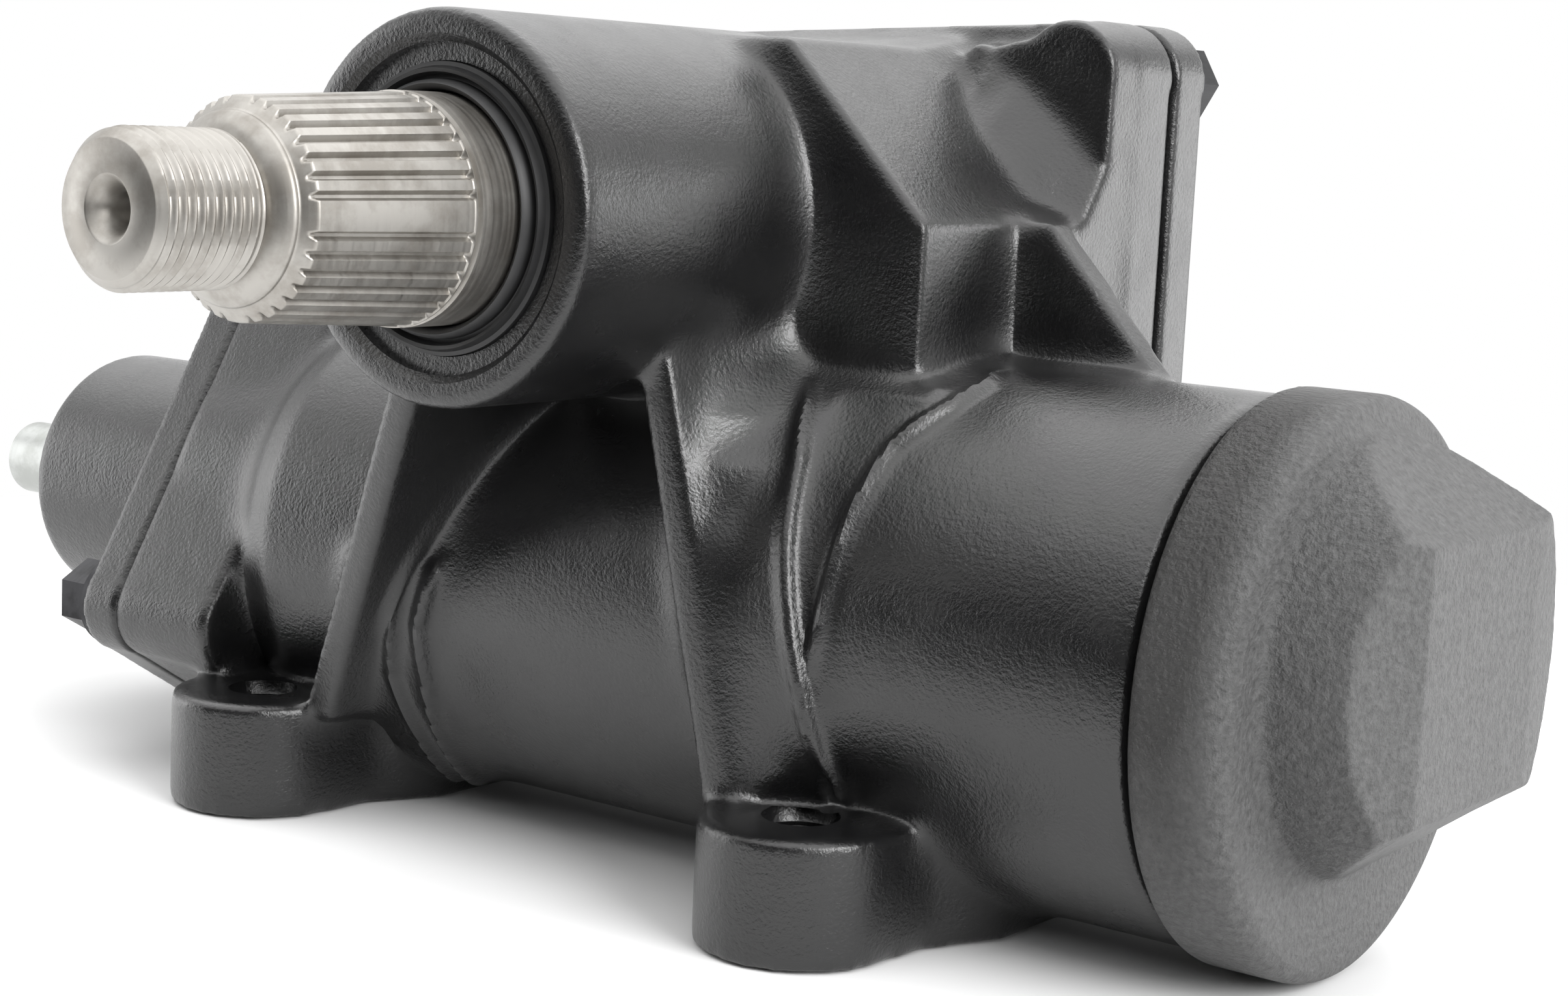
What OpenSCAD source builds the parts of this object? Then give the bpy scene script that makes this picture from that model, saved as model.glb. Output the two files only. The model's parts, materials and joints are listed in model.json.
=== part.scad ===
// Recirculating-ball power steering gearbox, in millimetres.
// The origin is the centre of the four frame bolts on the mounting face, +X runs along the piston to the end plug,
// -Y is the output end of the sector shaft and +Z points away from the frame.

/* [Mounting feet] */
// Distance between the frame bolts along the piston
foot_pitch_x = 150; // [140:1:160]
// Distance between the frame bolts across the piston
foot_pitch_y = 110; // [106:1:116]
// Radius of a foot's round front
foot_r = 20; // [17:0.5:22]
// Height of a foot
foot_h = 25; // [20:1:28]
// Radius of the tapped hole in a foot
foot_tap_r = 7; // [6:0.25:8]

/* [Axes] */
// Height of the piston axis above the mounting face
axis_h = 56; // [55:0.5:60]
// Place of the sector shaft along the piston
sector_x = 10; // [4:1:16]

/* [Barrel] */
// Outer radius of the barrel
barrel_r = 54; // [52:0.5:54.5]
// Radius of the piston bore
bore_r = 42; // [41:0.5:43]
// Face that the end plug seats on
plug_face_x = 143; // [141:1:150]
// Face that the valve housing seats on
valve_face_x = -118; // [-124:1:-117]

/* [Sector tube and chamber] */
// Outer radius of the sector tube
tube_r = 38; // [36:0.5:40]
// Distance of the tube's end face from the piston axis
tube_reach = 93.5; // [90:0.5:100]
// Distance of the chamber's front wall from the piston axis
hood_front = 24; // [22:0.5:26]
// Half the width of the chamber
hood_half_w = 65; // [64:0.5:68]
// Height of the chamber's roof above the sector axis
hood_top = 36.5; // [35:0.5:37]
// Height of the chamber's shoulder above the sector axis
hood_shoulder = 1; // [-2:0.5:3]
// Wall of the chamber
hood_wall = 6.5; // [5.5:0.25:7]
// Distance of the cover's seat from the piston axis
cover_seat = 59; // [57:0.5:63]
// Thickness of the flange under the cover
flange_t = 15; // [12:0.5:17]

/* [Side cover] */
// Thickness of the cover plate
cover_t = 13; // [11:0.5:15]
// Half the distance between the cover bolts along the piston
cover_bolt_x = 61; // [60:0.5:63]
// Height of the upper cover bolts above the sector axis
cover_bolt_up = 32; // [30:0.5:34]
// Depth of the lower cover bolts below the sector axis
cover_bolt_down = 54; // [52:0.5:56]
// Radius of the lobe round a cover bolt
cover_lobe_r = 12; // [11:0.5:13]
// Nominal radius of the cover and valve housing bolts
bolt_r = 5; // [4:0.25:6]
// Thickness of the cover gasket
gasket_t = 1.5; // [0.8:0.1:2]

/* [Sector shaft] */
// Radius of the shaft in its bearings
journal_r = 22; // [21:0.25:22.5]
// Length of the shaft outside the tube
shaft_out = 77; // [72:1:84]
// Radius of the nut thread
thread_r = 14; // [13:0.25:15]
// Length of the nut thread with its chamfer
thread_len = 25; // [22:0.5:28]
// Length of the tapered spline
spline_len = 40; // [36:0.5:42]
// Radius of the spline at its small end
spline_small_r = 19.8; // [19.4:0.1:20.4]
// Number of spline places round the shaft
spline_count = 36; // [24:4:48]
// Width of the sector seal
seal_w = 11.5; // [10:0.25:12]
// Depth of the spline grooves
spline_depth = 1.3; // [0.8:0.1:1.6]

/* [Rack and sector] */
// Module of the teeth
tooth_module = 9; // [9:0.1:9.2]
// Teeth that a full sector wheel would have
wheel_teeth = 11; // [11:1:11]
// Teeth left on the sector
sector_teeth = 3; // [3:2:3]
// Pressure angle of the rack flanks
flank_angle = 25; // [24:0.5:27]
// Height of the rack's tooth tips above the piston axis
rack_tip_h = 39; // [38:0.25:39.5]
// Height of a rack tooth above its pitch line
rack_addendum = 7.5; // [7:0.1:7.6]
// Face width of the sector
sector_w = 40; // [36:1:42]
// Distance of the sector's output-side face from the piston axis
sector_front = 13; // [11:0.5:14]
// Gap between the flanks in mesh, along the pitch line
flank_gap = 0.35; // [0.3:0.05:0.5]

/* [Rack piston] */
// End of the piston on the valve side
piston_left_x = -50; // [-54:1:-46]
// End of the piston on the plug side
piston_right_x = 98; // [96:1:100]
// Width of the piston ring
ring_w = 3; // [2:0.25:4]

/* [Worm and balls] */
// Axial advance of the worm in one turn
worm_lead = 18; // [17:0.5:19]
// Radius of the worm's outside
worm_r = 14.4; // [14:0.1:14.6]
// Radius of the circle of ball centres
ball_circle_r = 15; // [14.8:0.1:15.5]
// Radius of a recirculating ball
ball_r = 3.2; // [2.9:0.1:3.3]
// Turns of loaded balls
ball_turns = 2; // [2:1:2]
// Middle of the ball circuit with the steering straight ahead
circuit_x = -8; // [-10:0.5:-6]

/* [Valve housing] */
// Thickness of the valve housing's flange
valve_flange_t = 12; // [10:0.5:14]
// Radius of the valve housing's barrel
valve_r = 31.5; // [29:0.5:33]
// Length of the valve housing's barrel beyond its flange
valve_len = 56; // [55:0.5:60]
// Distance of the side bolts from the piston axis, across
valve_bolt_y = 50; // [49:0.5:53]
// Drop of the side bolts below the piston axis
valve_bolt_drop = 20; // [18:0.5:22]
// Height of the upper bolt above the piston axis
valve_bolt_up = 60; // [57:0.5:62]
// Depth of the lower bolt below the piston axis
valve_bolt_low = 43.5; // [43:0.25:44]
// Depth of the tapped holes for the valve housing's bolts
valve_tap = 16.5; // [14:0.5:17]
// Radius of the bosses round the hose ports
port_boss_r = 11.5; // [11:0.25:12.5]
// Radius of the valve bore
valve_bore_r = 23; // [22.5:0.25:24]

/* [Input shaft] */
// Radius of the input shaft
input_r = 10; // [9:0.25:10.5]
// Length of the input shaft outside the valve housing
input_out = 40; // [38:1:46]
// Radius of the torsion bar
torsion_r = 3.5; // [3:0.25:3.75]

/* [End plug] */
// Radius of the plug's rim
plug_rim_r = 56; // [55:0.25:57]
// Width of the plug's rim along the axis
plug_rim_w = 21; // [18:0.5:23]
// Radius of the plug's boss
plug_boss_r = 42; // [40:0.5:43]
// Height of the plug's boss above its rim
plug_boss_h = 23; // [21:0.5:26]
// Width of the square face on the plug's boss
plug_square = 50; // [46:1:54]
// Height of the boss's middle above the plug's axis
plug_boss_up = 8; // [6:0.5:9]

/* [Hidden] */
// Running clearance on a radius
run = 0.05;
// Gap between fixed pieces that slip together
slip = 0.05;
// Gap round a loosely held piece
loose = 0.3;
// Extra length of a cutting tool past a face
past = 1;
$fn = 64;

pitch_r = tooth_module * wheel_teeth / 2;
tooth_pitch = PI * tooth_module;
rack_pitch_h = rack_tip_h - rack_addendum;
centre_dist = rack_pitch_h + pitch_r;
sector_z = axis_h + centre_dist;
tip_gap = 1.2;
rack_root_h = rack_pitch_h - rack_addendum - tip_gap + 0.2;
sector_tip_r = centre_dist - rack_root_h - tip_gap;
sector_root_r = centre_dist - rack_tip_h - tip_gap + 0.2;
base_r = pitch_r * cos(flank_angle);
hub_r = journal_r + 4;
chamber_r = sector_tip_r + 1.7;

tube_face_y = -tube_reach;
cover_y = cover_seat + gasket_t;
cover_out_y = cover_y + cover_t;
flange_y = cover_seat - flange_t;
hood_front_y = -hood_front;
chamber_y = hood_front_y + hood_wall + 1.5;
sector_y0 = -sector_front;
sector_y1 = sector_y0 + sector_w;
cover_tap_floor = 2.5;
flange_boss = 11;
cover_side = cover_bolt_x + cover_lobe_r;
hood_low = cover_bolt_down + cover_lobe_r - 3;
cover_bolts = [
    [-cover_bolt_x, cover_bolt_up - 5], [-cover_bolt_x, -cover_bolt_down],
    [cover_bolt_x, -cover_bolt_down], [cover_bolt_x, cover_bolt_up]
];

feet = [for (sx = [-1, 1]) for (sy = [-1, 1]) [sx * foot_pitch_x / 2, sy * foot_pitch_y / 2]];

trunnion_r = journal_r - 2;
shaft_end_y = tube_face_y - shaft_out;
thread_end_y = shaft_end_y + thread_len;
spline_y = thread_end_y + 2;
spline_end_y = spline_y + spline_len;
trunnion_end_y = cover_y + 2;
seal_bore_r = journal_r + 6;
face_recess_r = journal_r + 9.5;
needle_bore_r = journal_r + 4;

bore_left_x = valve_face_x + 18;
spigot_r = bore_r - 6;
spigot_len = 14;
race_pocket_r = spigot_r - 8;
lip_r = race_pocket_r - 4;
thread_bore_r = bore_r + 5.5;
skirt_len = 17;

valve_out_x = valve_face_x - valve_flange_t;
valve_end_x = valve_out_x - valve_len;
input_end_x = valve_end_x - input_out;
seal_pocket = 10;
bearing_pocket = 17;
input_seal_r = input_r + 7;
input_bearing_r = input_r + 4;
valve_bore_end_x = valve_end_x + seal_pocket + bearing_pocket;
stub_r = input_r - 0.5;
stub_x = valve_end_x - 4;
valve_bolts = [
    [-valve_bolt_y, -valve_bolt_drop], [-12, -valve_bolt_low],
    [valve_bolt_y, -valve_bolt_drop - 4], [-5, valve_bolt_up]
];
valve_lobe_r = bolt_r + 6.5;
valve_boss_len = 30;
neck_len = valve_boss_len - 3;
spool_r = valve_bore_r - 8;

ball_bore_r = ball_circle_r + ball_r + loose;
thread_x0 = circuit_x - ball_turns * worm_lead / 2 - 40;
thread_x1 = circuit_x + ball_turns * worm_lead / 2 + 38;
worm_shank_r = worm_r - 3.4;
worm_journal_r = worm_r - 1.4;
worm_head_x = valve_face_x - 4;
worm_head_w = 6;
race_x0 = valve_face_x + 3;
race_w = spigot_len - 3 - slip;

// Places a child whose +Z runs along the piston axis, towards the plug
module on_piston_axis(x = 0) {
    translate([x, 0, axis_h]) rotate([0, 90, 0]) children();
}

// Places a child whose +Z runs along the sector axis, towards the cover
module on_sector_axis(y = 0) {
    translate([sector_x, y, sector_z]) rotate([-90, 0, 0]) children();
}

// Extrudes an outline drawn in X and Z about the sector axis, between two places along Y
module slab_y(y0, y1) {
    translate([sector_x, y1, sector_z]) rotate([90, 0, 0]) linear_extrude(y1 - y0) children();
}

// Extrudes an outline drawn in Y and Z about the piston axis, between two places along X
module slab_x(x0, x1) {
    translate([x0, 0, axis_h]) rotate([90, 0, 90]) linear_extrude(x1 - x0) children();
}

// Turns a profile of radius and place along the axis
module turned(profile) {
    rotate_extrude() polygon(profile);
}

// Tube between two radii
module sleeve(outer, inner, length) {
    difference() {
        cylinder(r = outer, h = length);
        translate([0, 0, -past]) cylinder(r = inner, h = length + 2 * past);
    }
}

// Ring of round section
module o_ring(middle_r, wire_r) {
    rotate_extrude() translate([middle_r, 0]) circle(r = wire_r, $fn = 32);
}

// Outline of equal lobes joined by straight sides, which lie just inside the lobes' edges
module lobed_outline(places, r) {
    n = len(places);
    side = 0.97 * r;
    polygon(places);
    for (i = [0 : n - 1]) {
        a = places[i];
        b = places[(i + 1) % n];
        translate(a) circle(r = r);
        translate(a) rotate(atan2(b[1] - a[1], b[0] - a[0])) translate([0, -side]) square([norm(b - a), 2 * side]);
    }
}

// Hexagon bolt with a washer face, its head's underside at zero and its shank along -Z
module flange_bolt(r, shank) {
    head_h = 2.4 * r;
    washer_r = 2.1 * r;
    washer_t = 0.36 * r;
    cylinder(r = washer_r, h = washer_t);
    cylinder(r = 1.75 * r, h = head_h, $fn = 6);
    translate([0, 0, head_h]) cylinder(r1 = 1.5 * r, r2 = 1.3 * r, h = 0.12 * r);
    translate([0, 0, -shank]) cylinder(r = r - slip, h = shank + 0.5);
}

// Outside of the chamber over the sector, in X and Z about the sector axis
module hood_outline() {
    roof_half = hood_half_w - (hood_top - hood_shoulder);
    polygon([
        [-hood_half_w, -hood_low], [hood_half_w, -hood_low], [hood_half_w, hood_shoulder],
        [roof_half, hood_top], [-roof_half, hood_top], [-hood_half_w, hood_shoulder]
    ]);
}

// Inside of the chamber, which the sector turns in
module chamber_outline() {
    half = hood_half_w - hood_wall;
    top = hood_top - hood_wall;
    slope = hood_half_w + hood_shoulder - hood_wall * sqrt(2);
    intersection() {
        circle(r = chamber_r);
        polygon([
            [-half, -hood_low], [half, -hood_low], [half, slope - half],
            [slope - top, top], [top - slope, top], [-half, slope - half]
        ]);
    }
}

// Outline shared by the flange, the gasket and the cover
module cover_outline(inset = 0) {
    lobed_outline(cover_bolts, cover_lobe_r - inset);
}

// Thick corner of the flange, from the chamber's sloping side out round an upper cover bolt
module corner_outline(bolt) {
    side = cover_side - 2 * loose;
    translate(bolt) circle(r = cover_lobe_r - loose);
    polygon([
        [36, bolt[1] - 8], [40, bolt[1] + 5], [bolt[0] - 8, bolt[1] + 8],
        [bolt[0], bolt[1] + cover_lobe_r - 2 * loose],
        [side, bolt[1]], [side, bolt[1] - 18], [bolt[0] - 9, bolt[1] - 20]
    ]);
}

// Foot with its web running back into the barrel, drawn for the near side with its bolt at the origin
module foot_outline(flare) {
    web = foot_pitch_y / 2;
    circle(r = foot_r);
    polygon([[-foot_r, 0], [foot_r, 0], [foot_r + 1, 0.25 * web], [foot_r + flare, 0.55 * web], [foot_r + flare, web], [-foot_r, web]]);
}

// Rib that leans from a foot up to the sector tube, wider where it meets the casting behind it
module leaning_rib(foot_x, foot_y, tube_x, tube_y, top_z) {
    thick = 8;
    spread = 1.5;
    depth = 58;
    hull() {
        for (end = [[foot_x, foot_y, foot_h - 3], [tube_x, tube_y, top_z]]) {
            translate(end) linear_extrude(1)
                polygon([[-thick / 2, 0], [thick / 2, 0], [thick / 2 + spread, depth], [-thick / 2 - spread, depth]]);
        }
    }
}

// Low pad on the barrel at a rib's root, its outline in X and Z about the sector axis
module rib_root(rise, outline) {
    intersection() {
        on_piston_axis(valve_face_x + past) cylinder(r = barrel_r + rise, h = plug_face_x - valve_face_x - 2 * past);
        slab_y(-barrel_r - 2 * rise, -9) polygon(outline);
    }
}

module housing() {
    rib_foot_y = -foot_pitch_y / 2 - 4;
    color([0.13, 0.13, 0.13])
    difference() {
        union() {
            on_piston_axis() turned([
                [0, valve_face_x], [barrel_r - 8, valve_face_x], [barrel_r - 7, valve_face_x + neck_len],
                [barrel_r - 2.5, valve_face_x + neck_len + 6], [barrel_r, valve_face_x + neck_len + 14],
                [barrel_r, plug_face_x - 1.5], [barrel_r - 1.5, plug_face_x], [0, plug_face_x]
            ]);
            on_sector_axis() turned([
                [0, tube_face_y], [tube_r - 1, tube_face_y], [tube_r, tube_face_y + 1], [tube_r, 0], [0, 0]
            ]);
            slab_y(hood_front_y, flange_y + past) hood_outline();
            slab_y(flange_y, cover_seat) cover_outline();
            for (p = cover_bolts) if (p[1] > 0)
                slab_y(flange_y - flange_boss, flange_y + past)
                    mirror([p[0] < 0 ? 1 : 0, 0]) corner_outline([cover_bolt_x, p[1]]);
            hood_gussets();
            hood_pad();
            for (p = feet) mirror([0, p[1] > 0 ? 1 : 0, 0])
                translate([p[0], -foot_pitch_y / 2, 0]) linear_extrude(foot_h) foot_outline(9);
            leaning_rib(foot_pitch_x / 2 - 17, rib_foot_y, sector_x + 26, rib_foot_y, sector_z - tube_r + 12);
            leaning_rib(-foot_pitch_x / 2 + 21, rib_foot_y, sector_x - 17, tube_face_y + 12, sector_z - tube_r + 6);
            rib_root(3, [[25, -30], [73, -30], [68.5, -57], [67.5, -75], [66, -112], [48, -112]]);
            rib_root(2.5, [[-32, -77], [-36, -94], [-35, -112], [-42, -131], [-60, -131], [-60, -77]]);
            slab_x(valve_face_x, valve_face_x + valve_boss_len) lobed_outline(valve_bolts, valve_lobe_r - loose);
        }
        housing_bores();
    }
}

// Triangular gussets from the chamber's sides down to the barrel
module hood_gussets() {
    reach = 36;
    for (sx = [0, 1]) translate([2 * sx * sector_x, 0, 0]) mirror([sx, 0, 0])
        slab_y(10, 18) polygon([
            [hood_half_w - 8, hood_shoulder + 0.6], [hood_half_w + 8, hood_shoulder + 0.6],
            [hood_half_w + reach, hood_shoulder - reach + 6], [hood_half_w + reach, -centre_dist + barrel_r - 12],
            [hood_half_w - 8, -centre_dist + barrel_r - 12]
        ]);
}

// Pad on the chamber's plug-side wall, next to the flange
module hood_pad() {
    out = hood_half_w + 7;
    slab_y(13, flange_y + past) polygon([[hood_half_w - 1, -22], [out, -22], [out, 1], [hood_half_w - 1, 4]]);
}

module housing_bores() {
    // Piston bore, the end plug's thread and the valve housing's spigot
    on_piston_axis(bore_left_x) cylinder(r = bore_r, h = plug_face_x - bore_left_x + past);
    on_piston_axis(plug_face_x - skirt_len) cylinder(r = thread_bore_r, h = skirt_len + past);
    on_piston_axis(valve_face_x - past) cylinder(r = spigot_r, h = spigot_len + past);
    on_piston_axis(valve_face_x) cylinder(r = lip_r, h = bore_left_x - valve_face_x + past);
    // Chamber over the rack, open to the cover
    slab_y(chamber_y, cover_seat + past) chamber_outline();
    // Bearing, seal and face recess of the sector tube
    on_sector_axis(tube_face_y - past) cylinder(r = face_recess_r, h = 3 + past);
    on_sector_axis(tube_face_y) cylinder(r = seal_bore_r, h = 24);
    on_sector_axis(tube_face_y) cylinder(r = needle_bore_r, h = -tube_face_y - hood_front + hood_wall);
    on_sector_axis(tube_face_y) cylinder(r = journal_r + 1, h = tube_reach + chamber_y + past);
    // Frame bolts
    for (p = feet) translate([p[0], p[1], -past]) cylinder(r = foot_tap_r, h = foot_h + 2 * past);
    for (p = feet) translate([p[0], p[1], foot_h - 1.2]) cylinder(r1 = foot_tap_r, r2 = foot_tap_r + 1.3, h = 1.3);
    // Cover and valve housing bolts
    for (p = cover_bolts) slab_y(flange_y + cover_tap_floor, cover_seat + past) translate(p) circle(r = bolt_r);
    for (p = valve_bolts) slab_x(valve_face_x - past, valve_face_x + valve_tap) translate(p) circle(r = bolt_r);
}

module end_plug() {
    joint_w = 1.3;
    joint_r = plug_rim_r - 5;
    boss_near = 2.5;
    front = plug_rim_w + plug_boss_h;
    side_tilt = 15;
    steep_tilt = 52;
    color([0.3, 0.3, 0.3])
    on_piston_axis(plug_face_x) difference() {
        union() {
            translate([0, 0, -skirt_len]) cylinder(r = thread_bore_r - slip, h = skirt_len + past);
            turned([
                [0, 0], [joint_r, 0], [joint_r, joint_w], [plug_rim_r - 1, joint_w], [plug_rim_r, joint_w + 1],
                [plug_rim_r, plug_rim_w - 3.5], [plug_rim_r - 1, plug_rim_w - 1.2], [plug_rim_r - 3.2, plug_rim_w],
                [0, plug_rim_w]
            ]);
            // Wrench boss, its middle above the axis, with four sloping flats round a square face
            translate([-plug_boss_up, -boss_near, 0]) difference() {
                turned([
                    [0, plug_rim_w - past], [plug_boss_r, plug_rim_w - past], [plug_boss_r - 1, front], [0, front]
                ]);
                for (a = [0 : 90 : 270]) rotate(a) translate([plug_square / 2, 0, front])
                    rotate([0, a % 180 == 0 ? steep_tilt : side_tilt, 0])
                        translate([0, -plug_rim_r, 0]) cube([plug_rim_r, 2 * plug_rim_r, plug_rim_r]);
            }
        }
        translate([0, 0, -skirt_len - past]) cylinder(r = bore_r + 1, h = skirt_len + past - 3);
        translate([0, 0, -4.2]) rotate_extrude() translate([thread_bore_r - 2.4, 0]) square([3, 2.8]);
    }
}

module end_plug_o_ring() {
    color([0.08, 0.08, 0.08])
    on_piston_axis(plug_face_x - 2.8) o_ring(thread_bore_r - 1.15, 1.1);
}

module rack_piston() {
    flat = 13;
    pocket_len = ball_turns * worm_lead + 18;
    color([0.45, 0.45, 0.47])
    difference() {
        on_piston_axis() turned([
            [0, piston_left_x], [bore_r - 2, piston_left_x], [bore_r - run, piston_left_x + 2],
            [bore_r - run, piston_right_x - 2], [bore_r - 2, piston_right_x], [0, piston_right_x]
        ]);
        on_piston_axis(piston_left_x - past) cylinder(r = ball_bore_r, h = piston_right_x - piston_left_x - 9);
        // Groove for the piston ring
        on_piston_axis(piston_right_x - 7 - ring_w / 2) translate([0, 0, -slip]) sleeve(bore_r + 3, bore_r - 4, ring_w + 2 * slip);
        // Flat of the rack and the spaces between its teeth
        translate([sector_x - 55, -bore_r, axis_h + rack_tip_h]) cube([110, 2 * bore_r, bore_r]);
        for (i = [-1 : 1]) rack_space(sector_x + i * tooth_pitch);
        // Seat of the ball return guide under the piston
        translate([circuit_x - pocket_len / 2, -flat, axis_h - bore_r - past])
            cube([pocket_len, 2 * flat, bore_r - 24 + past]);
        for (sx = [-1, 1])
            translate([circuit_x + sx * ball_turns * worm_lead / 2, 0, axis_h - 25]) cylinder(r = ball_r + 1 + loose, h = 25);
    }
}

// Space that one sector tooth runs in, widened by the flank gap
module rack_space(x) {
    half = tooth_pitch / 4 + flank_gap / 2;
    up = rack_addendum + 6;
    down = rack_pitch_h - rack_root_h;
    slope = tan(flank_angle);
    translate([x, bore_r + past, axis_h + rack_pitch_h]) rotate([90, 0, 0]) linear_extrude(2 * (bore_r + past))
        polygon([
            [-half - up * slope, up], [-half + down * slope, -down], [half - down * slope, -down], [half + up * slope, up]
        ]);
}

module piston_ring() {
    color([0.2, 0.17, 0.13])
    on_piston_axis(piston_right_x - 7 - ring_w / 2) sleeve(bore_r - run / 2, bore_r - 3.9, ring_w);
}

// Radius of the worm at an angle from its groove's middle, in a plane across the axis
function worm_section_r(a, groove_r) =
    let (along = worm_lead * a / 360)
    abs(along) < groove_r ? min(worm_r, ball_circle_r - sqrt(groove_r * groove_r - along * along)) : worm_r;

module worm() {
    groove_r = ball_r + loose;
    groove_half = 360 * groove_r / worm_lead;
    worm_angles = [for (k = [-5 : 5]) groove_half * k / 5, for (a = [groove_half + 30 : 30 : 345 - groove_half]) a];
    turns = (thread_x1 - thread_x0) / worm_lead;
    start = 360 * (thread_x0 - circuit_x) / worm_lead;
    color([0.6, 0.6, 0.62])
    difference() {
        union() {
            on_piston_axis(thread_x0) rotate(start)
                linear_extrude(thread_x1 - thread_x0, twist = -360 * turns, slices = round(10 * turns), $fn = 17)
                    polygon([for (a = worm_angles) worm_section_r(a, groove_r) * [cos(a), sin(a)]]);
            on_piston_axis() turned([
                [0, worm_head_x], [valve_bore_r - 1, worm_head_x], [valve_bore_r - 1, worm_head_x + worm_head_w],
                [worm_journal_r, worm_head_x + worm_head_w], [worm_journal_r, race_x0 + race_w + 2],
                [worm_shank_r, race_x0 + race_w + 4], [worm_shank_r, thread_x0 + 4], [0, thread_x0 + 4]
            ]);
        }
        on_piston_axis(worm_head_x - past) cylinder(r = input_r - 1.5 + run, h = 12 + past);
        on_piston_axis(worm_head_x) cylinder(r = torsion_r + run, h = 34);
        translate([race_x0 + race_w + 8, 0, axis_h - worm_r]) cylinder(r = 1.5 + slip, h = 2 * worm_r);
    }
}

module recirculating_balls() {
    per_turn = 13;
    n = ball_turns * per_turn;
    color([0.75, 0.75, 0.77])
    for (i = [0 : n]) {
        a = 360 * ball_turns * (i / n - 0.5);
        x = circuit_x + worm_lead * a / 360;
        translate([x, 0, axis_h]) rotate([a, 0, 0]) translate([0, 0, -ball_circle_r]) sphere(r = ball_r, $fn = 24);
    }
}

module ball_return_guide() {
    half = ball_turns * worm_lead / 2;
    tube_r_out = ball_r + 1;
    run_z = axis_h - 31;
    color([0.62, 0.62, 0.64])
    difference() {
        union() {
            for (sx = [-1, 1]) translate([circuit_x + sx * half, 0, run_z]) {
                cylinder(r = tube_r_out, h = 31 - ball_circle_r - ball_r - 1);
                sphere(r = tube_r_out);
            }
            translate([circuit_x - half, 0, run_z]) rotate([0, 90, 0]) cylinder(r = tube_r_out, h = 2 * half);
        }
        for (sx = [-1, 1]) translate([circuit_x + sx * half, 0, run_z]) {
            cylinder(r = ball_r + 0.2, h = 31);
            sphere(r = ball_r + 0.2);
        }
        translate([circuit_x - half, 0, run_z]) rotate([0, 90, 0]) cylinder(r = ball_r + 0.2, h = 2 * half);
    }
}

module return_guide_clamp() {
    color([0.55, 0.55, 0.57])
    difference() {
        translate([circuit_x - 7, -12, axis_h - 38]) cube([14, 24, 14 - slip]);
        translate([circuit_x - 8, 0, axis_h - 31]) rotate([0, 90, 0]) cylinder(r = ball_r + 1.1, h = 16);
        translate([circuit_x - 8, -ball_r - 1.1, axis_h - 31]) cube([16, 2 * ball_r + 2.2, 8]);
        for (sy = [-1, 1]) translate([circuit_x, sy * 8.6, axis_h - 39]) cylinder(r = 2, h = 16);
    }
}

module clamp_screws() {
    color([0.4, 0.4, 0.42])
    for (sy = [-1, 1]) translate([circuit_x, sy * 8.6, axis_h - 38]) {
        cylinder(r = 2 - slip, h = 13.9);
        translate([0, 0, -2]) cylinder(r = 3.2, h = 2);
    }
}

module worm_bearing_inner_race() {
    color([0.66, 0.66, 0.68])
    on_piston_axis(race_x0) difference() {
        sleeve(worm_journal_r + 5.5, worm_journal_r + slip, race_w);
        translate([0, 0, race_w / 2]) o_ring((worm_journal_r + lip_r) / 2 + 1.5, 3.6);
    }
}

module worm_bearing_outer_race() {
    color([0.64, 0.64, 0.66])
    on_piston_axis(race_x0) difference() {
        sleeve(race_pocket_r - slip, race_pocket_r - 6.5, race_w);
        translate([0, 0, race_w / 2]) o_ring((worm_journal_r + lip_r) / 2 + 1.5, 3.6);
    }
}

module worm_bearing_balls() {
    ring_r = (worm_journal_r + lip_r) / 2 + 1.5;
    color([0.78, 0.78, 0.8])
    for (i = [0 : 11]) on_piston_axis(race_x0 + race_w / 2) rotate(30 * i) translate([ring_r, 0, 0]) sphere(r = 3.3, $fn = 24);
}

module valve_body() {
    length = worm_head_x - valve_bore_end_x - 2;
    x0 = worm_head_x - length;
    color([0.58, 0.57, 0.55])
    on_piston_axis(x0) difference() {
        sleeve(valve_bore_r - run, spool_r + run, length);
        for (i = [0 : 2]) translate([0, 0, length * (2 * i + 1) / 6 - 2]) sleeve(valve_bore_r + 1, valve_bore_r - 2, 4);
        for (i = [0 : 3]) translate([0, 0, valve_ring_z(i, length)]) sleeve(valve_bore_r + 1, valve_bore_r - 2, 2 + 2 * slip);
    }
}

// Place of one valve ring's groove along the valve body
function valve_ring_z(i, length) = 2 + i * (length - 6) / 3;

module valve_rings() {
    length = worm_head_x - valve_bore_end_x - 2;
    x0 = worm_head_x - length;
    color([0.85, 0.84, 0.8])
    for (i = [0 : 3]) on_piston_axis(x0 + valve_ring_z(i, length) + slip) sleeve(valve_bore_r - run / 2, valve_bore_r - 1.9, 2);
}

module input_shaft() {
    spool_x0 = valve_bore_end_x + 1;
    color([0.8, 0.8, 0.79])
    difference() {
        on_piston_axis() turned([
            [0, input_end_x], [stub_r - 1.2, input_end_x], [stub_r, input_end_x + 1.2], [stub_r, stub_x], [input_r, stub_x + 0.5],
            [input_r, spool_x0], [spool_r, spool_x0], [spool_r, worm_head_x - 1], [input_r - 1.5, worm_head_x - 1],
            [input_r - 1.5, worm_head_x + 11], [0, worm_head_x + 11]
        ]);
        on_piston_axis(input_end_x + 6) cylinder(r = torsion_r + slip, h = worm_head_x - input_end_x + 20);
        translate([input_end_x + 12, 0, axis_h - 2 * input_r]) cylinder(r = 1.5 + slip, h = 4 * input_r);
        // Groove for the coupling's pinch bolt
        on_piston_axis(input_end_x + 18) rotate_extrude() translate([stub_r + 1.8, 0]) circle(r = 3.2, $fn = 32);
    }
}

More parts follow.
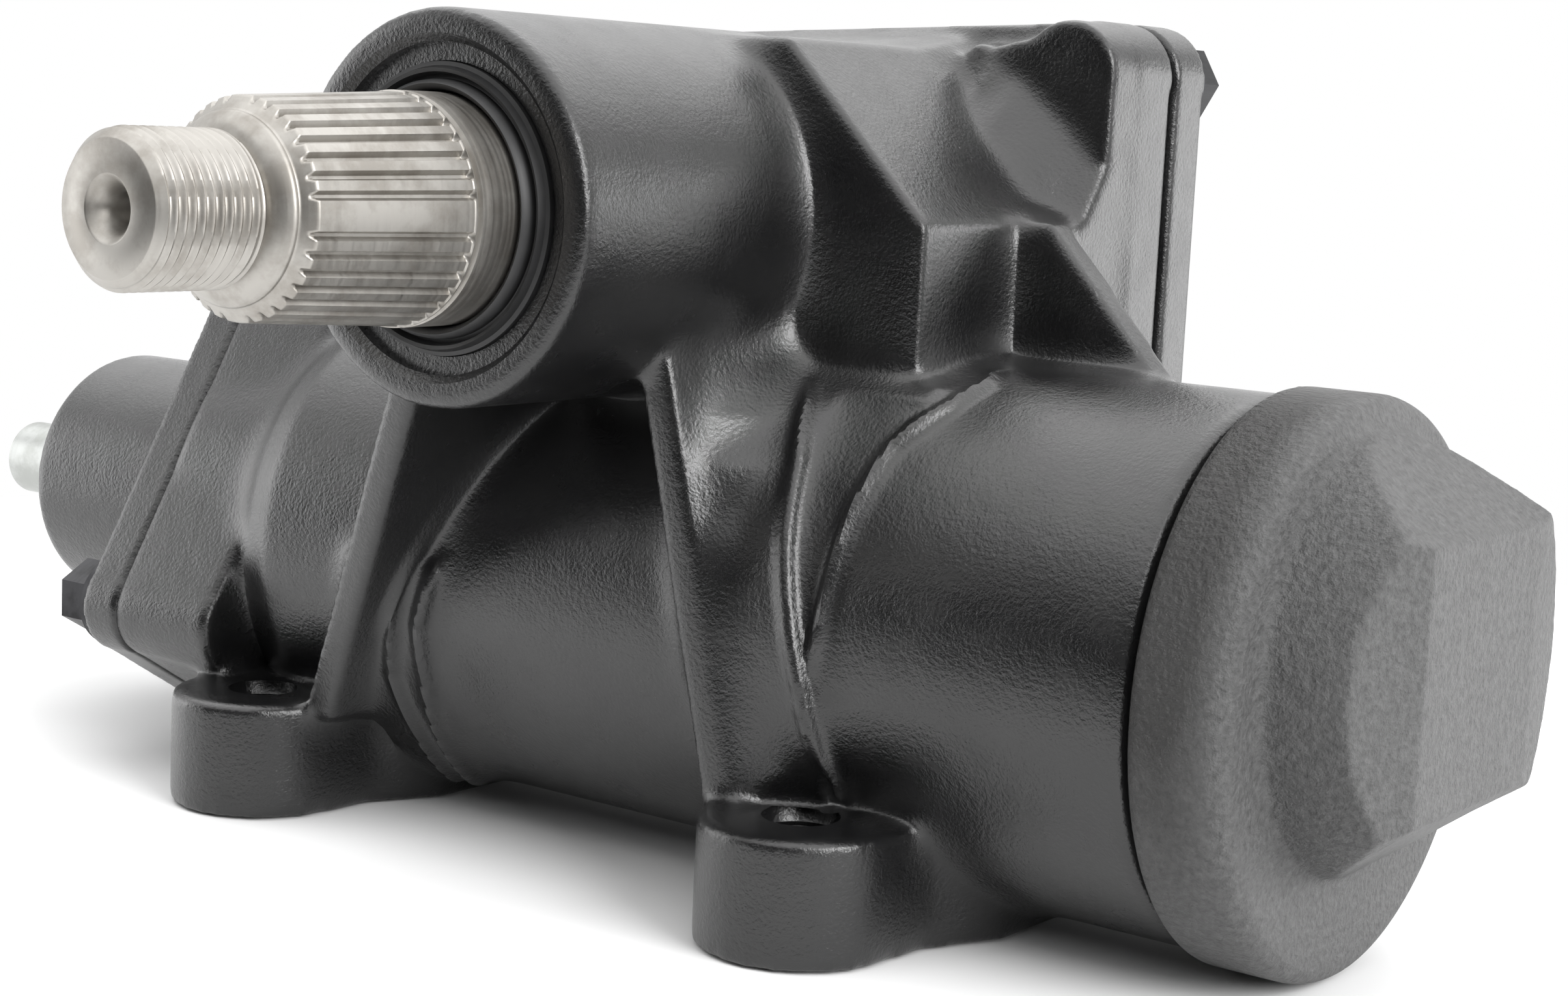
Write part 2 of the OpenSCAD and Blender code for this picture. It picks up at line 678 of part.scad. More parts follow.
module torsion_bar() {
    worm_pin_x = race_x0 + race_w + 8;
    bar_end_x = worm_head_x + 33;
    color([0.5, 0.5, 0.52])
    difference() {
        on_piston_axis() turned([
            [0, input_end_x + 6.5], [torsion_r, input_end_x + 6.5], [torsion_r, input_end_x + 22],
            [torsion_r - 1, input_end_x + 26], [torsion_r - 1, bar_end_x - 20], [torsion_r, bar_end_x - 16],
            [torsion_r, bar_end_x], [0, bar_end_x]
        ]);
        translate([input_end_x + 12, 0, axis_h - 2 * torsion_r]) cylinder(r = 1.5 + slip, h = 4 * torsion_r);
        translate([worm_pin_x, 0, axis_h - 2 * torsion_r]) cylinder(r = 2, h = 4 * torsion_r);
    }
}

module torsion_bar_pin() {
    color([0.45, 0.45, 0.47])
    translate([input_end_x + 12, 0, axis_h - stub_r + 0.5]) cylinder(r = 1.5, h = 2 * stub_r - 1);
}

module worm_pin() {
    worm_pin_x = race_x0 + race_w + 8;
    color([0.45, 0.45, 0.47])
    translate([worm_pin_x, 0, axis_h - worm_shank_r + 0.3]) cylinder(r = 1.5, h = 2 * worm_shank_r - 0.6);
}

module valve_housing() {
    port_x = (valve_out_x + valve_end_x) / 2;
    color([0.15, 0.15, 0.15])
    difference() {
        union() {
            slab_x(valve_out_x, valve_face_x) lobed_outline(valve_bolts, valve_lobe_r);
            on_piston_axis() turned([
                [0, valve_end_x], [valve_r - 2, valve_end_x], [valve_r - 0.6, valve_end_x + 0.6],
                [valve_r, valve_end_x + 2], [valve_r, valve_out_x + 1], [0, valve_out_x + 1]
            ]);
            on_piston_axis(valve_face_x - past) cylinder(r = spigot_r - slip, h = spigot_len - slip + past);
            for (dx = [-13, 13]) translate([port_x + dx, 0, axis_h]) rotate([-90, 0, 0]) cylinder(r = port_boss_r, h = valve_r + 7);
        }
        on_piston_axis(valve_bore_end_x) cylinder(r = valve_bore_r, h = valve_face_x - valve_bore_end_x);
        on_piston_axis(valve_face_x - past) cylinder(r = lip_r, h = 4 + past);
        on_piston_axis(race_x0 - slip) cylinder(r = race_pocket_r, h = spigot_len + past);
        on_piston_axis(valve_end_x) cylinder(r = input_bearing_r, h = seal_pocket + bearing_pocket + past);
        on_piston_axis(valve_end_x - past) cylinder(r = input_seal_r, h = seal_pocket + past);
        on_piston_axis(valve_face_x + 4) rotate_extrude() translate([spigot_r - 2.4, 0]) square([3, 2.8]);
        for (p = valve_bolts) slab_x(valve_out_x - past, valve_face_x + past) translate(p) circle(r = bolt_r + 0.4);
        for (dx = [-13, 13]) translate([port_x + dx, valve_bore_r - past, axis_h]) rotate([-90, 0, 0]) {
            cylinder(r = 3.5, h = valve_r);
            translate([0, 0, valve_r + 8 - valve_bore_r - 11]) cylinder(r = dx > 0 ? 7.2 : 8.2, h = 20);
        }
    }
}

module valve_housing_seal() {
    color([0.08, 0.08, 0.08])
    on_piston_axis(valve_face_x + 5.4) o_ring(spigot_r - 1.15, 1.1);
}

module valve_housing_bolts() {
    color([0.2, 0.2, 0.2])
    for (p = valve_bolts)
        translate([valve_out_x, p[0], axis_h + p[1]]) rotate([0, -90, 0]) flange_bolt(bolt_r, valve_flange_t + valve_tap - past);
}

module input_bearing() {
    length = bearing_pocket - 3;
    color([0.6, 0.6, 0.62])
    on_piston_axis(valve_end_x + seal_pocket + 1) sleeve(input_bearing_r - slip, input_r + run, length);
}

module input_seal() {
    color([0.1, 0.1, 0.1])
    on_piston_axis(valve_end_x + 3) difference() {
        sleeve(input_seal_r - slip, input_r + run, seal_pocket - 3.2);
        translate([0, 0, -past]) sleeve(input_seal_r - 2, input_r + 1.8, 3 + past);
    }
}

module input_dust_seal() {
    color([0.07, 0.07, 0.07])
    on_piston_axis(valve_end_x) turned([
        [input_r + run, -2.5], [input_r + 1.6, -2.5], [input_r + 4, 0.4], [input_seal_r - slip, 0.8],
        [input_seal_r - slip, 2.9], [input_r + run, 2.9]
    ]);
}

// Involute flank point of the sector tooth at a radius, as an angle from the tooth's middle
function involute(a) = tan(a) * 180 / PI - a;
function flank_half_angle(r) =
    180 / PI * (tooth_pitch / 2 - flank_gap) / 2 / pitch_r + involute(flank_angle) - involute(acos(min(1, base_r / r)));

// Outline of the sector: three involute teeth on a hub, hanging below the shaft
module sector_outline() {
    steps = 6;
    tooth_step = 360 / wheel_teeth;
    radii = [for (i = [0 : steps]) base_r + (sector_tip_r - base_r) * i / steps];
    side = (sector_teeth - 1) / 2;
    web = side * tooth_step + 14;
    circle(r = hub_r);
    polygon([[0, 0], for (a = [-web : web / 7 : web + 0.01]) sector_root_r * [sin(a), -cos(a)]]);
    for (i = [-side : side]) rotate(i * tooth_step) polygon(concat(
        [for (r = radii) r * [sin(flank_half_angle(r)), -cos(flank_half_angle(r))]],
        [for (k = [0 : steps]) radii[steps - k] * [-sin(flank_half_angle(radii[steps - k])), -cos(flank_half_angle(radii[steps - k]))]],
        [hub_r * 0.9 * [-sin(9), -cos(9)], hub_r * 0.9 * [sin(9), -cos(9)]]
    ));
}

// Section of the tapered spline at its small end, with a blank place at each quarter turn
module spline_section() {
    place = 360 / spline_count;
    quarter = spline_count / 4;
    inner = spline_small_r - spline_depth;
    polygon([for (i = [0 : spline_count - 1]) let (a = i * place, blank = i % quarter == 0)
        each [
            spline_small_r * [cos(a - 0.24 * place), sin(a - 0.24 * place)],
            spline_small_r * [cos(a + 0.24 * place), sin(a + 0.24 * place)],
            (blank ? spline_small_r : inner) * [cos(a + 0.4 * place), sin(a + 0.4 * place)],
            (blank ? spline_small_r : inner) * [cos(a + 0.6 * place), sin(a + 0.6 * place)]
        ]]);
}

module sector_shaft() {
    slot_w = 5;
    spline_big_r = journal_r - 0.3;
    color([0.78, 0.76, 0.73])
    difference() {
        union() {
            on_sector_axis() turned([
                [0, shaft_end_y], [thread_r - 2.2, shaft_end_y], [thread_r, shaft_end_y + 2.2], [thread_r, thread_end_y - 3],
                [thread_r - 0.9, thread_end_y - 2.2], [thread_r + 1.4, thread_end_y], [spline_small_r - 2.6, thread_end_y + 0.6],
                [spline_small_r - 1.4, spline_y + 1], [spline_small_r - 1.4, spline_end_y - 2],
                [journal_r - 1.2, spline_end_y - 0.6], [journal_r - 1.2, spline_end_y + 0.8], [journal_r, spline_end_y + 1.6],
                [journal_r, sector_y0 + past], [hub_r, sector_y0 + past], [hub_r, sector_y1 - past],
                [trunnion_r, sector_y1 - past], [trunnion_r, trunnion_end_y - 1], [trunnion_r - 1, trunnion_end_y],
                [0, trunnion_end_y]
            ]);
            on_sector_axis(spline_y) linear_extrude(spline_len - 0.6, scale = spline_big_r / spline_small_r) spline_section();
            slab_y(sector_y0, sector_y1) sector_outline();
        }
        // Centre drill in the output end
        on_sector_axis(shaft_end_y - 0.01) turned([[0, -past], [5.6, -past], [5.6, 0], [2.6, 4.5], [2.6, 10], [0, 11.5]]);
        // Slot that holds the adjuster's head
        on_sector_axis(trunnion_end_y - 7) cylinder(r = 9, h = 4.2);
        on_sector_axis(trunnion_end_y - 4) cylinder(r = 8.2, h = 4 + past);
    }
}

module sector_bearing() {
    length = 40;
    roller_r = 1.6;
    mid = journal_r + roller_r + run;
    cup = needle_bore_r - slip;
    color([0.62, 0.62, 0.64])
    on_sector_axis(tube_face_y + 26) {
        sleeve(cup, mid + roller_r - 0.2, length);
        for (i = [0 : 19]) rotate(18 * i) translate([mid, 0, 2]) cylinder(r = roller_r, h = length - 4, $fn = 24);
    }
}

module sector_seal() {
    color([0.07, 0.07, 0.07])
    on_sector_axis(tube_face_y + 12) difference() {
        sleeve(seal_bore_r - slip, journal_r + run, seal_w);
        translate([0, 0, -past]) sleeve(seal_bore_r - 2, journal_r + 2, 6 + past);
    }
}

module seal_retaining_ring() {
    color([0.35, 0.35, 0.36])
    on_sector_axis(tube_face_y + 9.4) sleeve(seal_bore_r - slip, journal_r + 2.5, 2.4);
}

module sector_dust_seal() {
    color([0.06, 0.06, 0.06])
    on_sector_axis(tube_face_y) turned([
        [journal_r + run, 1.2], [journal_r + 1.6, 0.2], [journal_r + 3, 2.6], [journal_r + 4.6, 2.6],
        [seal_bore_r - slip, 1], [seal_bore_r - slip, 9], [journal_r + 3, 9], [journal_r + run, 5]
    ]);
}

module side_cover() {
    boss_r = trunnion_r + 9;
    boss_in = 16;
    boss_out = 9;
    color([0.16, 0.16, 0.16])
    difference() {
        union() {
            slab_y(cover_y, cover_out_y) cover_outline();
            on_sector_axis(cover_y - boss_in) cylinder(r = boss_r, h = boss_in + past);
            on_sector_axis(cover_out_y - past) cylinder(r1 = boss_r + 2, r2 = boss_r - 1, h = boss_out + past);
            for (a = [30 : 60 : 330]) on_sector_axis(cover_out_y - past) rotate(a)
                translate([boss_r - 3, -2.5, 0]) cube([12, 5, 5]);
        }
        on_sector_axis(cover_y - boss_in - past) cylinder(r = trunnion_r + 3.5, h = boss_in + 3.5 + past);
        on_sector_axis(cover_y) cylinder(r = 9.5, h = 8);
        on_sector_axis(cover_y) cylinder(r = 6, h = cover_t + boss_out + past);
        for (p = cover_bolts) slab_y(cover_y - past, cover_out_y + past) translate(p) circle(r = bolt_r + 0.4);
    }
}

module cover_bush() {
    color([0.62, 0.5, 0.3])
    on_sector_axis(cover_y - 15.5) sleeve(trunnion_r + 3.5 - slip, trunnion_r + run, 18);
}

module cover_gasket() {
    color([0.12, 0.12, 0.12])
    difference() {
        slab_y(cover_seat, cover_y) cover_outline(2.5);
        slab_y(cover_seat - past, cover_y + past) chamber_outline();
        for (p = cover_bolts) slab_y(cover_seat - past, cover_y + past) translate(p) circle(r = bolt_r + 0.4);
    }
}

module cover_bolts_set() {
    color([0.2, 0.2, 0.2])
    for (p = cover_bolts)
        translate([sector_x + p[0], cover_out_y, sector_z + p[1]]) rotate([-90, 0, 0]) flange_bolt(bolt_r, cover_t + gasket_t + flange_t - cover_tap_floor - past);
}

module adjuster_screw() {
    out_y = cover_out_y + 22;
    color([0.5, 0.5, 0.52])
    difference() {
        on_sector_axis() turned([
            [0, trunnion_end_y - 6.6], [8.4, trunnion_end_y - 6.6], [8.4, trunnion_end_y - 3.4], [6 - slip, trunnion_end_y - 3.4],
            [6 - slip, out_y - 1], [5, out_y], [0, out_y]
        ]);
        on_sector_axis(out_y - 6) cylinder(r = 3.4, h = 6 + past, $fn = 6);
    }
}

module adjuster_retainer() {
    color([0.55, 0.55, 0.57])
    on_sector_axis(trunnion_end_y - 2.6) sleeve(8.2 - slip, 6 + loose, 2);
}

module adjuster_lock_nut() {
    color([0.3, 0.3, 0.31])
    on_sector_axis(cover_out_y + 9) difference() {
        cylinder(r = 11, h = 9, $fn = 6);
        translate([0, 0, -past]) cylinder(r = 6, h = 9 + 2 * past);
    }
}

housing();
end_plug();
end_plug_o_ring();
rack_piston();
piston_ring();
worm();
recirculating_balls();
ball_return_guide();
return_guide_clamp();
clamp_screws();
worm_bearing_inner_race();
worm_bearing_outer_race();
worm_bearing_balls();
valve_body();
valve_rings();
input_shaft();
torsion_bar();
torsion_bar_pin();
worm_pin();
valve_housing();
valve_housing_seal();
valve_housing_bolts();
input_bearing();
input_seal();
input_dust_seal();
sector_shaft();
sector_bearing();
sector_seal();
seal_retaining_ring();
sector_dust_seal();
side_cover();
cover_bush();
cover_gasket();
cover_bolts_set();
adjuster_screw();
adjuster_retainer();
adjuster_lock_nut();
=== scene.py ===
import json
import math

import bmesh
import bpy
import numpy as np
from mathutils import Matrix, Vector


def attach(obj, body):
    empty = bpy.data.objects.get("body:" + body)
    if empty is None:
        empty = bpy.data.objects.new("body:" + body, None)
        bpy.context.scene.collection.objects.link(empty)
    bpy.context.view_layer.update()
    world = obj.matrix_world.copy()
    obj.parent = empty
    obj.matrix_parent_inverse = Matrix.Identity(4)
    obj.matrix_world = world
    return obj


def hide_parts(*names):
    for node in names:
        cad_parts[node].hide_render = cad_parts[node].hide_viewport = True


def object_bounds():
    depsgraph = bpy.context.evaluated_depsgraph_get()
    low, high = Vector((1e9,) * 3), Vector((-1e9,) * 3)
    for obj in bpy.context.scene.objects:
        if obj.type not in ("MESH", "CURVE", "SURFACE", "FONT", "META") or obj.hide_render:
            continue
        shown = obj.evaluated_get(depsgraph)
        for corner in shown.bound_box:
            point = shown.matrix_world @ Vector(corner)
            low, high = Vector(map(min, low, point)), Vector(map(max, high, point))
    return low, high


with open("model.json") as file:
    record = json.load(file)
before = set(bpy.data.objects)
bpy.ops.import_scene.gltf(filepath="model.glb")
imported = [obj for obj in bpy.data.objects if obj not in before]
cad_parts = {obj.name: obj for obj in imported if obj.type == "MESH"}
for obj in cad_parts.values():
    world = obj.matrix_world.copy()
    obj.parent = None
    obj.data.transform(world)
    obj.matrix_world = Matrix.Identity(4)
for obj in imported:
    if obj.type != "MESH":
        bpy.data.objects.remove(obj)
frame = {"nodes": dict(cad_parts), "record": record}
cadLow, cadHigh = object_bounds()

mm = 0.001
axes = {"pistonHeight": 56, "sectorX": 10, "sectorHeight": 137}  # millimetres, as in the CAD model


# camera, at the photograph's angle
view = {"focalPx": 4149.43, "widthPx": 2408, "sensorMm": 36, "azimuth": 36.28, "pitch": 8.12, "roll": 2.80,
        "place": (368.68, -465.58, 158.35)}


def addCamera(v):
    a, e, r = (math.radians(v[k]) for k in ("azimuth", "pitch", "roll"))
    ahead = Vector((-math.sin(a) * math.cos(e), math.cos(a) * math.cos(e), -math.sin(e)))
    right = Vector((math.cos(a), math.sin(a), 0))
    up = right.cross(ahead)
    tiltedRight = right * math.cos(r) + up * math.sin(r)
    tiltedUp = up * math.cos(r) - right * math.sin(r)
    data = bpy.data.cameras.new("photoCamera")
    data.sensor_fit = "HORIZONTAL"
    data.sensor_width = v["sensorMm"]
    data.lens = v["sensorMm"] * v["focalPx"] / v["widthPx"]
    data.clip_start = 0.01
    camera = bpy.data.objects.new("photoCamera", data)
    bpy.context.scene.collection.objects.link(camera)
    turn = Matrix((tiltedRight, tiltedUp, -ahead)).transposed().to_4x4()
    camera.matrix_world = Matrix.Translation(Vector(v["place"]) * mm) @ turn
    bpy.context.scene.camera = camera


addCamera(view)
print("camera placed")


# materials
def toLinear(hexColour):
    parts = [int(hexColour[i:i + 2], 16) / 255 for i in (1, 3, 5)]
    return [p / 12.92 if p <= 0.04045 else ((p + 0.055) / 1.055) ** 2.4 for p in parts] + [1.0]


def addNode(tree, kind, links=None, **settings):
    node = tree.nodes.new(kind)
    for key, value in settings.items():
        if key in node.inputs:
            node.inputs[key].default_value = value
        else:
            setattr(node, key, value)
    for key, source in (links or {}).items():
        tree.links.new(source, node.inputs[key])
    return node


def newMaterial(name):
    material = bpy.data.materials.new(name)
    material.use_nodes = True
    tree = material.node_tree
    shader = tree.nodes["Principled BSDF"]
    place = addNode(tree, "ShaderNodeTexCoord").outputs["Object"]
    return material, tree, shader, place


def perMm(size):
    return 1.0 / (size * mm)  # noise scale for features of this size


def enamelOnCasting(name, dark, pale, roughness, grainMm, grainDepthMm):
    # sprayed enamel over sand-cast iron: fine pebbled grain, slow waves, and gloss that pools unevenly
    material, tree, shader, place = newMaterial(name)
    cloud = addNode(tree, "ShaderNodeTexNoise", {"Vector": place}, Scale=perMm(26), Detail=3.0,
                    Roughness=0.55)
    tint = addNode(tree, "ShaderNodeValToRGB", {"Fac": cloud.outputs["Fac"]})
    first, last = tint.color_ramp.elements
    first.position, first.color = 0.32, toLinear(dark)
    last.position, last.color = 0.72, toLinear(pale)
    tree.links.new(tint.outputs["Color"], shader.inputs["Base Color"])
    pools = addNode(tree, "ShaderNodeTexNoise", {"Vector": place}, Scale=perMm(9), Detail=4.0)
    gloss = addNode(tree, "ShaderNodeMapRange", {"Value": pools.outputs["Fac"]},
                    **{"From Min": 0.3, "From Max": 0.7, "To Min": roughness[0], "To Max": roughness[1]})
    tree.links.new(gloss.outputs["Result"], shader.inputs["Roughness"])
    grain = addNode(tree, "ShaderNodeTexNoise", {"Vector": place}, Scale=perMm(grainMm), Detail=4.0,
                    Roughness=0.6)
    waves = addNode(tree, "ShaderNodeTexNoise", {"Vector": place}, Scale=perMm(6), Detail=2.0)
    slow = addNode(tree, "ShaderNodeBump", {"Height": waves.outputs["Fac"]}, Strength=0.5, Distance=0.25 * mm)
    fine = addNode(tree, "ShaderNodeBump", {"Height": grain.outputs["Fac"], "Normal": slow.outputs["Normal"]},
                   Strength=0.8, Distance=grainDepthMm * mm)
    tree.links.new(fine.outputs["Normal"], shader.inputs["Normal"])
    tree.links.new(fine.outputs["Normal"], shader.inputs["Coat Normal"])
    shader.inputs["IOR"].default_value = 1.52
    shader.inputs["Coat Weight"].default_value = 0.35  # lacquer over the enamel
    shader.inputs["Coat Roughness"].default_value = 0.24
    return material


def sprayedForging(name, bare, spray, sprayTo, grainMm, grainDepthMm):
    # rough forged iron, its joint side under the housing's enamel, which thins out over the rim and downwards
    material, tree, shader, place = newMaterial(name)
    grain = addNode(tree, "ShaderNodeTexNoise", {"Vector": place}, Scale=perMm(grainMm), Detail=5.0,
                    Roughness=0.65)
    blots = addNode(tree, "ShaderNodeTexNoise", {"Vector": place}, Scale=perMm(14), Detail=4.0)
    spot = addNode(tree, "ShaderNodeSeparateXYZ", {"Vector": place})
    fadeMm, lowMm, highMm = 7, 5, 70
    reach = addNode(tree, "ShaderNodeMapRange", {"Value": spot.outputs["X"]}, interpolation_type="SMOOTHSTEP",
                    **{"From Min": (sprayTo - fadeMm) * mm, "From Max": (sprayTo + fadeMm) * mm,
                       "To Min": 1.0, "To Max": 0.0})
    height = addNode(tree, "ShaderNodeMapRange", {"Value": spot.outputs["Z"]},
                     interpolation_type="SMOOTHSTEP",
                     **{"From Min": lowMm * mm, "From Max": highMm * mm, "To Min": 0.15, "To Max": 1.0})
    cover = addNode(tree, "ShaderNodeMath", {0: reach.outputs["Result"], 1: height.outputs["Result"]},
                    operation="MULTIPLY").outputs["Value"]
    patchy = addNode(tree, "ShaderNodeMath", {0: blots.outputs["Fac"], 1: cover, 2: cover},
                     operation="MULTIPLY_ADD")
    sprayed = addNode(tree, "ShaderNodeMapRange", {"Value": patchy.outputs["Value"]},
                      **{"From Min": 0.25, "From Max": 1.25, "To Min": 0.0, "To Max": 1.0})
    tint = addNode(tree, "ShaderNodeMix", {"Factor": sprayed.outputs["Result"]}, data_type="RGBA")
    tint.inputs["A"].default_value, tint.inputs["B"].default_value = toLinear(bare), toLinear(spray)
    speck = addNode(tree, "ShaderNodeMapRange", {"Value": grain.outputs["Fac"]},
                    **{"From Min": 0.3, "From Max": 0.7, "To Min": 0.6, "To Max": 1.38})
    mottled = addNode(tree, "ShaderNodeVectorMath",
                      {0: tint.outputs["Result"], "Scale": speck.outputs["Result"]}, operation="SCALE")
    tree.links.new(mottled.outputs["Vector"], shader.inputs["Base Color"])
    gloss = addNode(tree, "ShaderNodeMapRange", {"Value": sprayed.outputs["Result"]},
                    **{"To Min": 0.52, "To Max": 0.26})
    tree.links.new(gloss.outputs["Result"], shader.inputs["Roughness"])
    pebble = addNode(tree, "ShaderNodeBump", {"Height": grain.outputs["Fac"]}, Strength=0.9,
                     Distance=grainDepthMm * mm)
    tree.links.new(pebble.outputs["Normal"], shader.inputs["Normal"])
    shader.inputs["IOR"].default_value = 1.52
    return material


def machinedSteel(name, base, stain, roughness, axis, lineMm, stainAmount):
    # turned or ground bare steel: fine rings round the axis, faint brown handling stains
    material, tree, shader, place = newMaterial(name)
    shader.inputs["Metallic"].default_value = 1.0
    stretch = {"x": (1, 0.02, 0.02), "y": (0.02, 1, 0.02), "z": (0.02, 0.02, 1)}[axis]
    along = addNode(tree, "ShaderNodeMapping", {"Vector": place}, Scale=stretch)
    rings = addNode(tree, "ShaderNodeTexNoise", {"Vector": along.outputs["Vector"]}, Scale=perMm(lineMm),
                    Detail=5.0)
    blots = addNode(tree, "ShaderNodeTexNoise", {"Vector": place}, Scale=perMm(11), Detail=5.0,
                    Roughness=0.65)
    tint = addNode(tree, "ShaderNodeValToRGB", {"Fac": blots.outputs["Fac"]})
    first, last = tint.color_ramp.elements
    first.position, first.color = 0.5 - stainAmount, toLinear(stain)
    last.position, last.color = 0.56, toLinear(base)
    tree.links.new(tint.outputs["Color"], shader.inputs["Base Color"])
    gloss = addNode(tree, "ShaderNodeMapRange", {"Value": rings.outputs["Fac"]},
                    **{"From Min": 0.3, "From Max": 0.7, "To Min": roughness[0], "To Max": roughness[1]})
    tree.links.new(gloss.outputs["Result"], shader.inputs["Roughness"])
    cut = addNode(tree, "ShaderNodeBump", {"Height": rings.outputs["Fac"]}, Strength=0.15, Distance=0.04 * mm)
    tree.links.new(cut.outputs["Normal"], shader.inputs["Normal"])
    return material


def mouldedRubber(name, colour, roughness):
    # moulded nitrile: dull black with a faint dusty bloom
    material, tree, shader, place = newMaterial(name)
    dust = addNode(tree, "ShaderNodeTexNoise", {"Vector": place}, Scale=perMm(4), Detail=4.0)
    tint = addNode(tree, "ShaderNodeValToRGB", {"Fac": dust.outputs["Fac"]})
    first, last = tint.color_ramp.elements
    first.color = toLinear(colour)
    last.position, last.color = 0.9, toLinear("#2b2b2c")
    tree.links.new(tint.outputs["Color"], shader.inputs["Base Color"])
    skin = addNode(tree, "ShaderNodeBump", {"Height": dust.outputs["Fac"]}, Strength=0.3, Distance=0.05 * mm)
    tree.links.new(skin.outputs["Normal"], shader.inputs["Normal"])
    shader.inputs["Roughness"].default_value = roughness
    shader.inputs["IOR"].default_value = 1.52
    return material


enamel = enamelOnCasting("enamelOnSandCastIron", "#0e0e0f", "#1a1a1a", (0.17, 0.3), 0.8, 0.2)
plugCoat = sprayedForging("enamelSprayOnForgedPlug", "#505050", "#1e1d1c", 158, 1.4, 1.3)
shaftSteel = machinedSteel("turnedShaftSteel", "#aaa7a2", "#95918b", (0.4, 0.53), "y", 0.9, 0.12)
innerSteel = machinedSteel("groundBearingSteel", "#b9bbbf", "#a7a8aa", (0.18, 0.3), "x", 0.8, 0.06)
inputSteel = machinedSteel("turnedInputSteel", "#b3b5b3", "#a5a7a4", (0.36, 0.42), "x", 0.9, 0.06)
boltSteel = machinedSteel("blackOxideBoltSteel", "#39393b", "#2a2a2b", (0.3, 0.45), "x", 1.0, 0.1)
ringSteel = machinedSteel("pressedSealCaseSteel", "#6d6f72", "#55575a", (0.25, 0.4), "y", 0.7, 0.08)
bushBronze = machinedSteel("leadedBronzeBush", "#b58a4e", "#99713c", (0.3, 0.45), "y", 0.9, 0.1)
rubber = mouldedRubber("mouldedNitrileRubber", "#121212", 0.5)
ringPlastic = mouldedRubber("filledLowFrictionPlastic", "#6d675a", 0.45)
print("materials made:", len(bpy.data.materials))


# mesh helpers
def meshFrom(name, points, faces):
    mesh = bpy.data.meshes.new(name)
    mesh.from_pydata([tuple(p) for p in points], [], faces)
    mesh.validate()
    mesh.update()
    return mesh


def placePiece(mesh, name, body, material, sharpDegrees=35):
    piece = bpy.data.objects.new(name, mesh)
    bpy.context.scene.collection.objects.link(piece)
    mesh.materials.clear()
    mesh.materials.append(material)
    mesh.shade_smooth()
    mesh.set_sharp_from_angle(angle=math.radians(sharpDegrees))
    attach(piece, body)
    return piece


def toAxis(points, axis):
    # local (across, across, along) millimetres to the model's metres
    u, v, w = np.asarray(points, float).T
    if axis == "piston":
        out = np.stack([w, u, axes["pistonHeight"] + v], 1)
    elif axis == "sector":
        out = np.stack([axes["sectorX"] + u, w, axes["sectorHeight"] + v], 1)
    else:
        out = np.stack([u, v, w], 1)
    return out * mm


def outwardNormals(mesh):
    work = bmesh.new()
    work.from_mesh(mesh)
    bmesh.ops.recalc_face_normals(work, faces=work.faces)
    work.to_mesh(mesh)
    work.free()
    return mesh


def turnedMesh(name, profile, axis, segments=96, centre=(0, 0)):
    # profile: (radius, along) from axis to axis, or a closed ring that never meets the axis
    ring = all(r > 1e-6 for r, _ in profile)
    angles = np.linspace(0, 2 * math.pi, segments, endpoint=False)
    points, rows = [], []
    for r, w in profile:
        if r <= 1e-6:
            rows.append([len(points)] * segments)
            points.append((centre[0], centre[1], w))
        else:
            rows.append(list(range(len(points), len(points) + segments)))
            points += [(centre[0] + r * math.cos(t), centre[1] + r * math.sin(t), w) for t in angles]
    faces = []
    pairs = list(zip(rows, rows[1:])) + ([(rows[-1], rows[0])] if ring else [])
    for low, high in pairs:
        for i in range(segments):
            j = (i + 1) % segments
            corners = [low[i], low[j], high[j], high[i]]
            kept = [c for k, c in enumerate(corners) if c != corners[k - 1]]
            if len(kept) > 2:
                faces.append(kept)
    return outwardNormals(meshFrom(name, toAxis(points, axis), faces))


def prismMesh(name, outline, low, high, axis):
    # outline in the plane across the axis, extruded between two places along it
    n = len(outline)
    points = [(u, v, w) for w in (low, high) for u, v in outline]
    faces = [list(range(n)), list(range(2 * n - 1, n - 1, -1))]
    faces += [[i, (i + 1) % n, n + (i + 1) % n, n + i] for i in range(n)]
    return outwardNormals(meshFrom(name, toAxis(points, axis), faces))


def loftMesh(name, sections):
    # closed skin through sections with the same number of points, in millimetres
    n = len(sections[0])
    points = [p for section in sections for p in section]
    faces = [list(range(n)), list(range(len(points) - 1, len(points) - n - 1, -1))]
    for k in range(len(sections) - 1):
        low, high = k * n, (k + 1) * n
        faces += [[low + i, low + (i + 1) % n, high + (i + 1) % n, high + i] for i in range(n)]
    return outwardNormals(meshFrom(name, toAxis(points, "up"), faces))


def outerHull(points):
    # the convex outline round a set of points
    ordered = sorted(set(points))

    def chain(run):
        kept = []
        for p in run:
            while len(kept) > 1 and ((kept[-1][0] - kept[-2][0]) * (p[1] - kept[-2][1])
                                     - (kept[-1][1] - kept[-2][1]) * (p[0] - kept[-2][0])) <= 0:
                kept.pop()
            kept.append(p)
        return kept[:-1]

    return chain(ordered) + chain(ordered[::-1])


def joinedMesh(name, meshes):
    work = bmesh.new()
    for mesh in meshes:
        work.from_mesh(mesh)
    merged = bpy.data.meshes.new(name)
    work.to_mesh(merged)
    work.free()
    return merged


def nodeMesh(node):
    return frame["nodes"][node].data


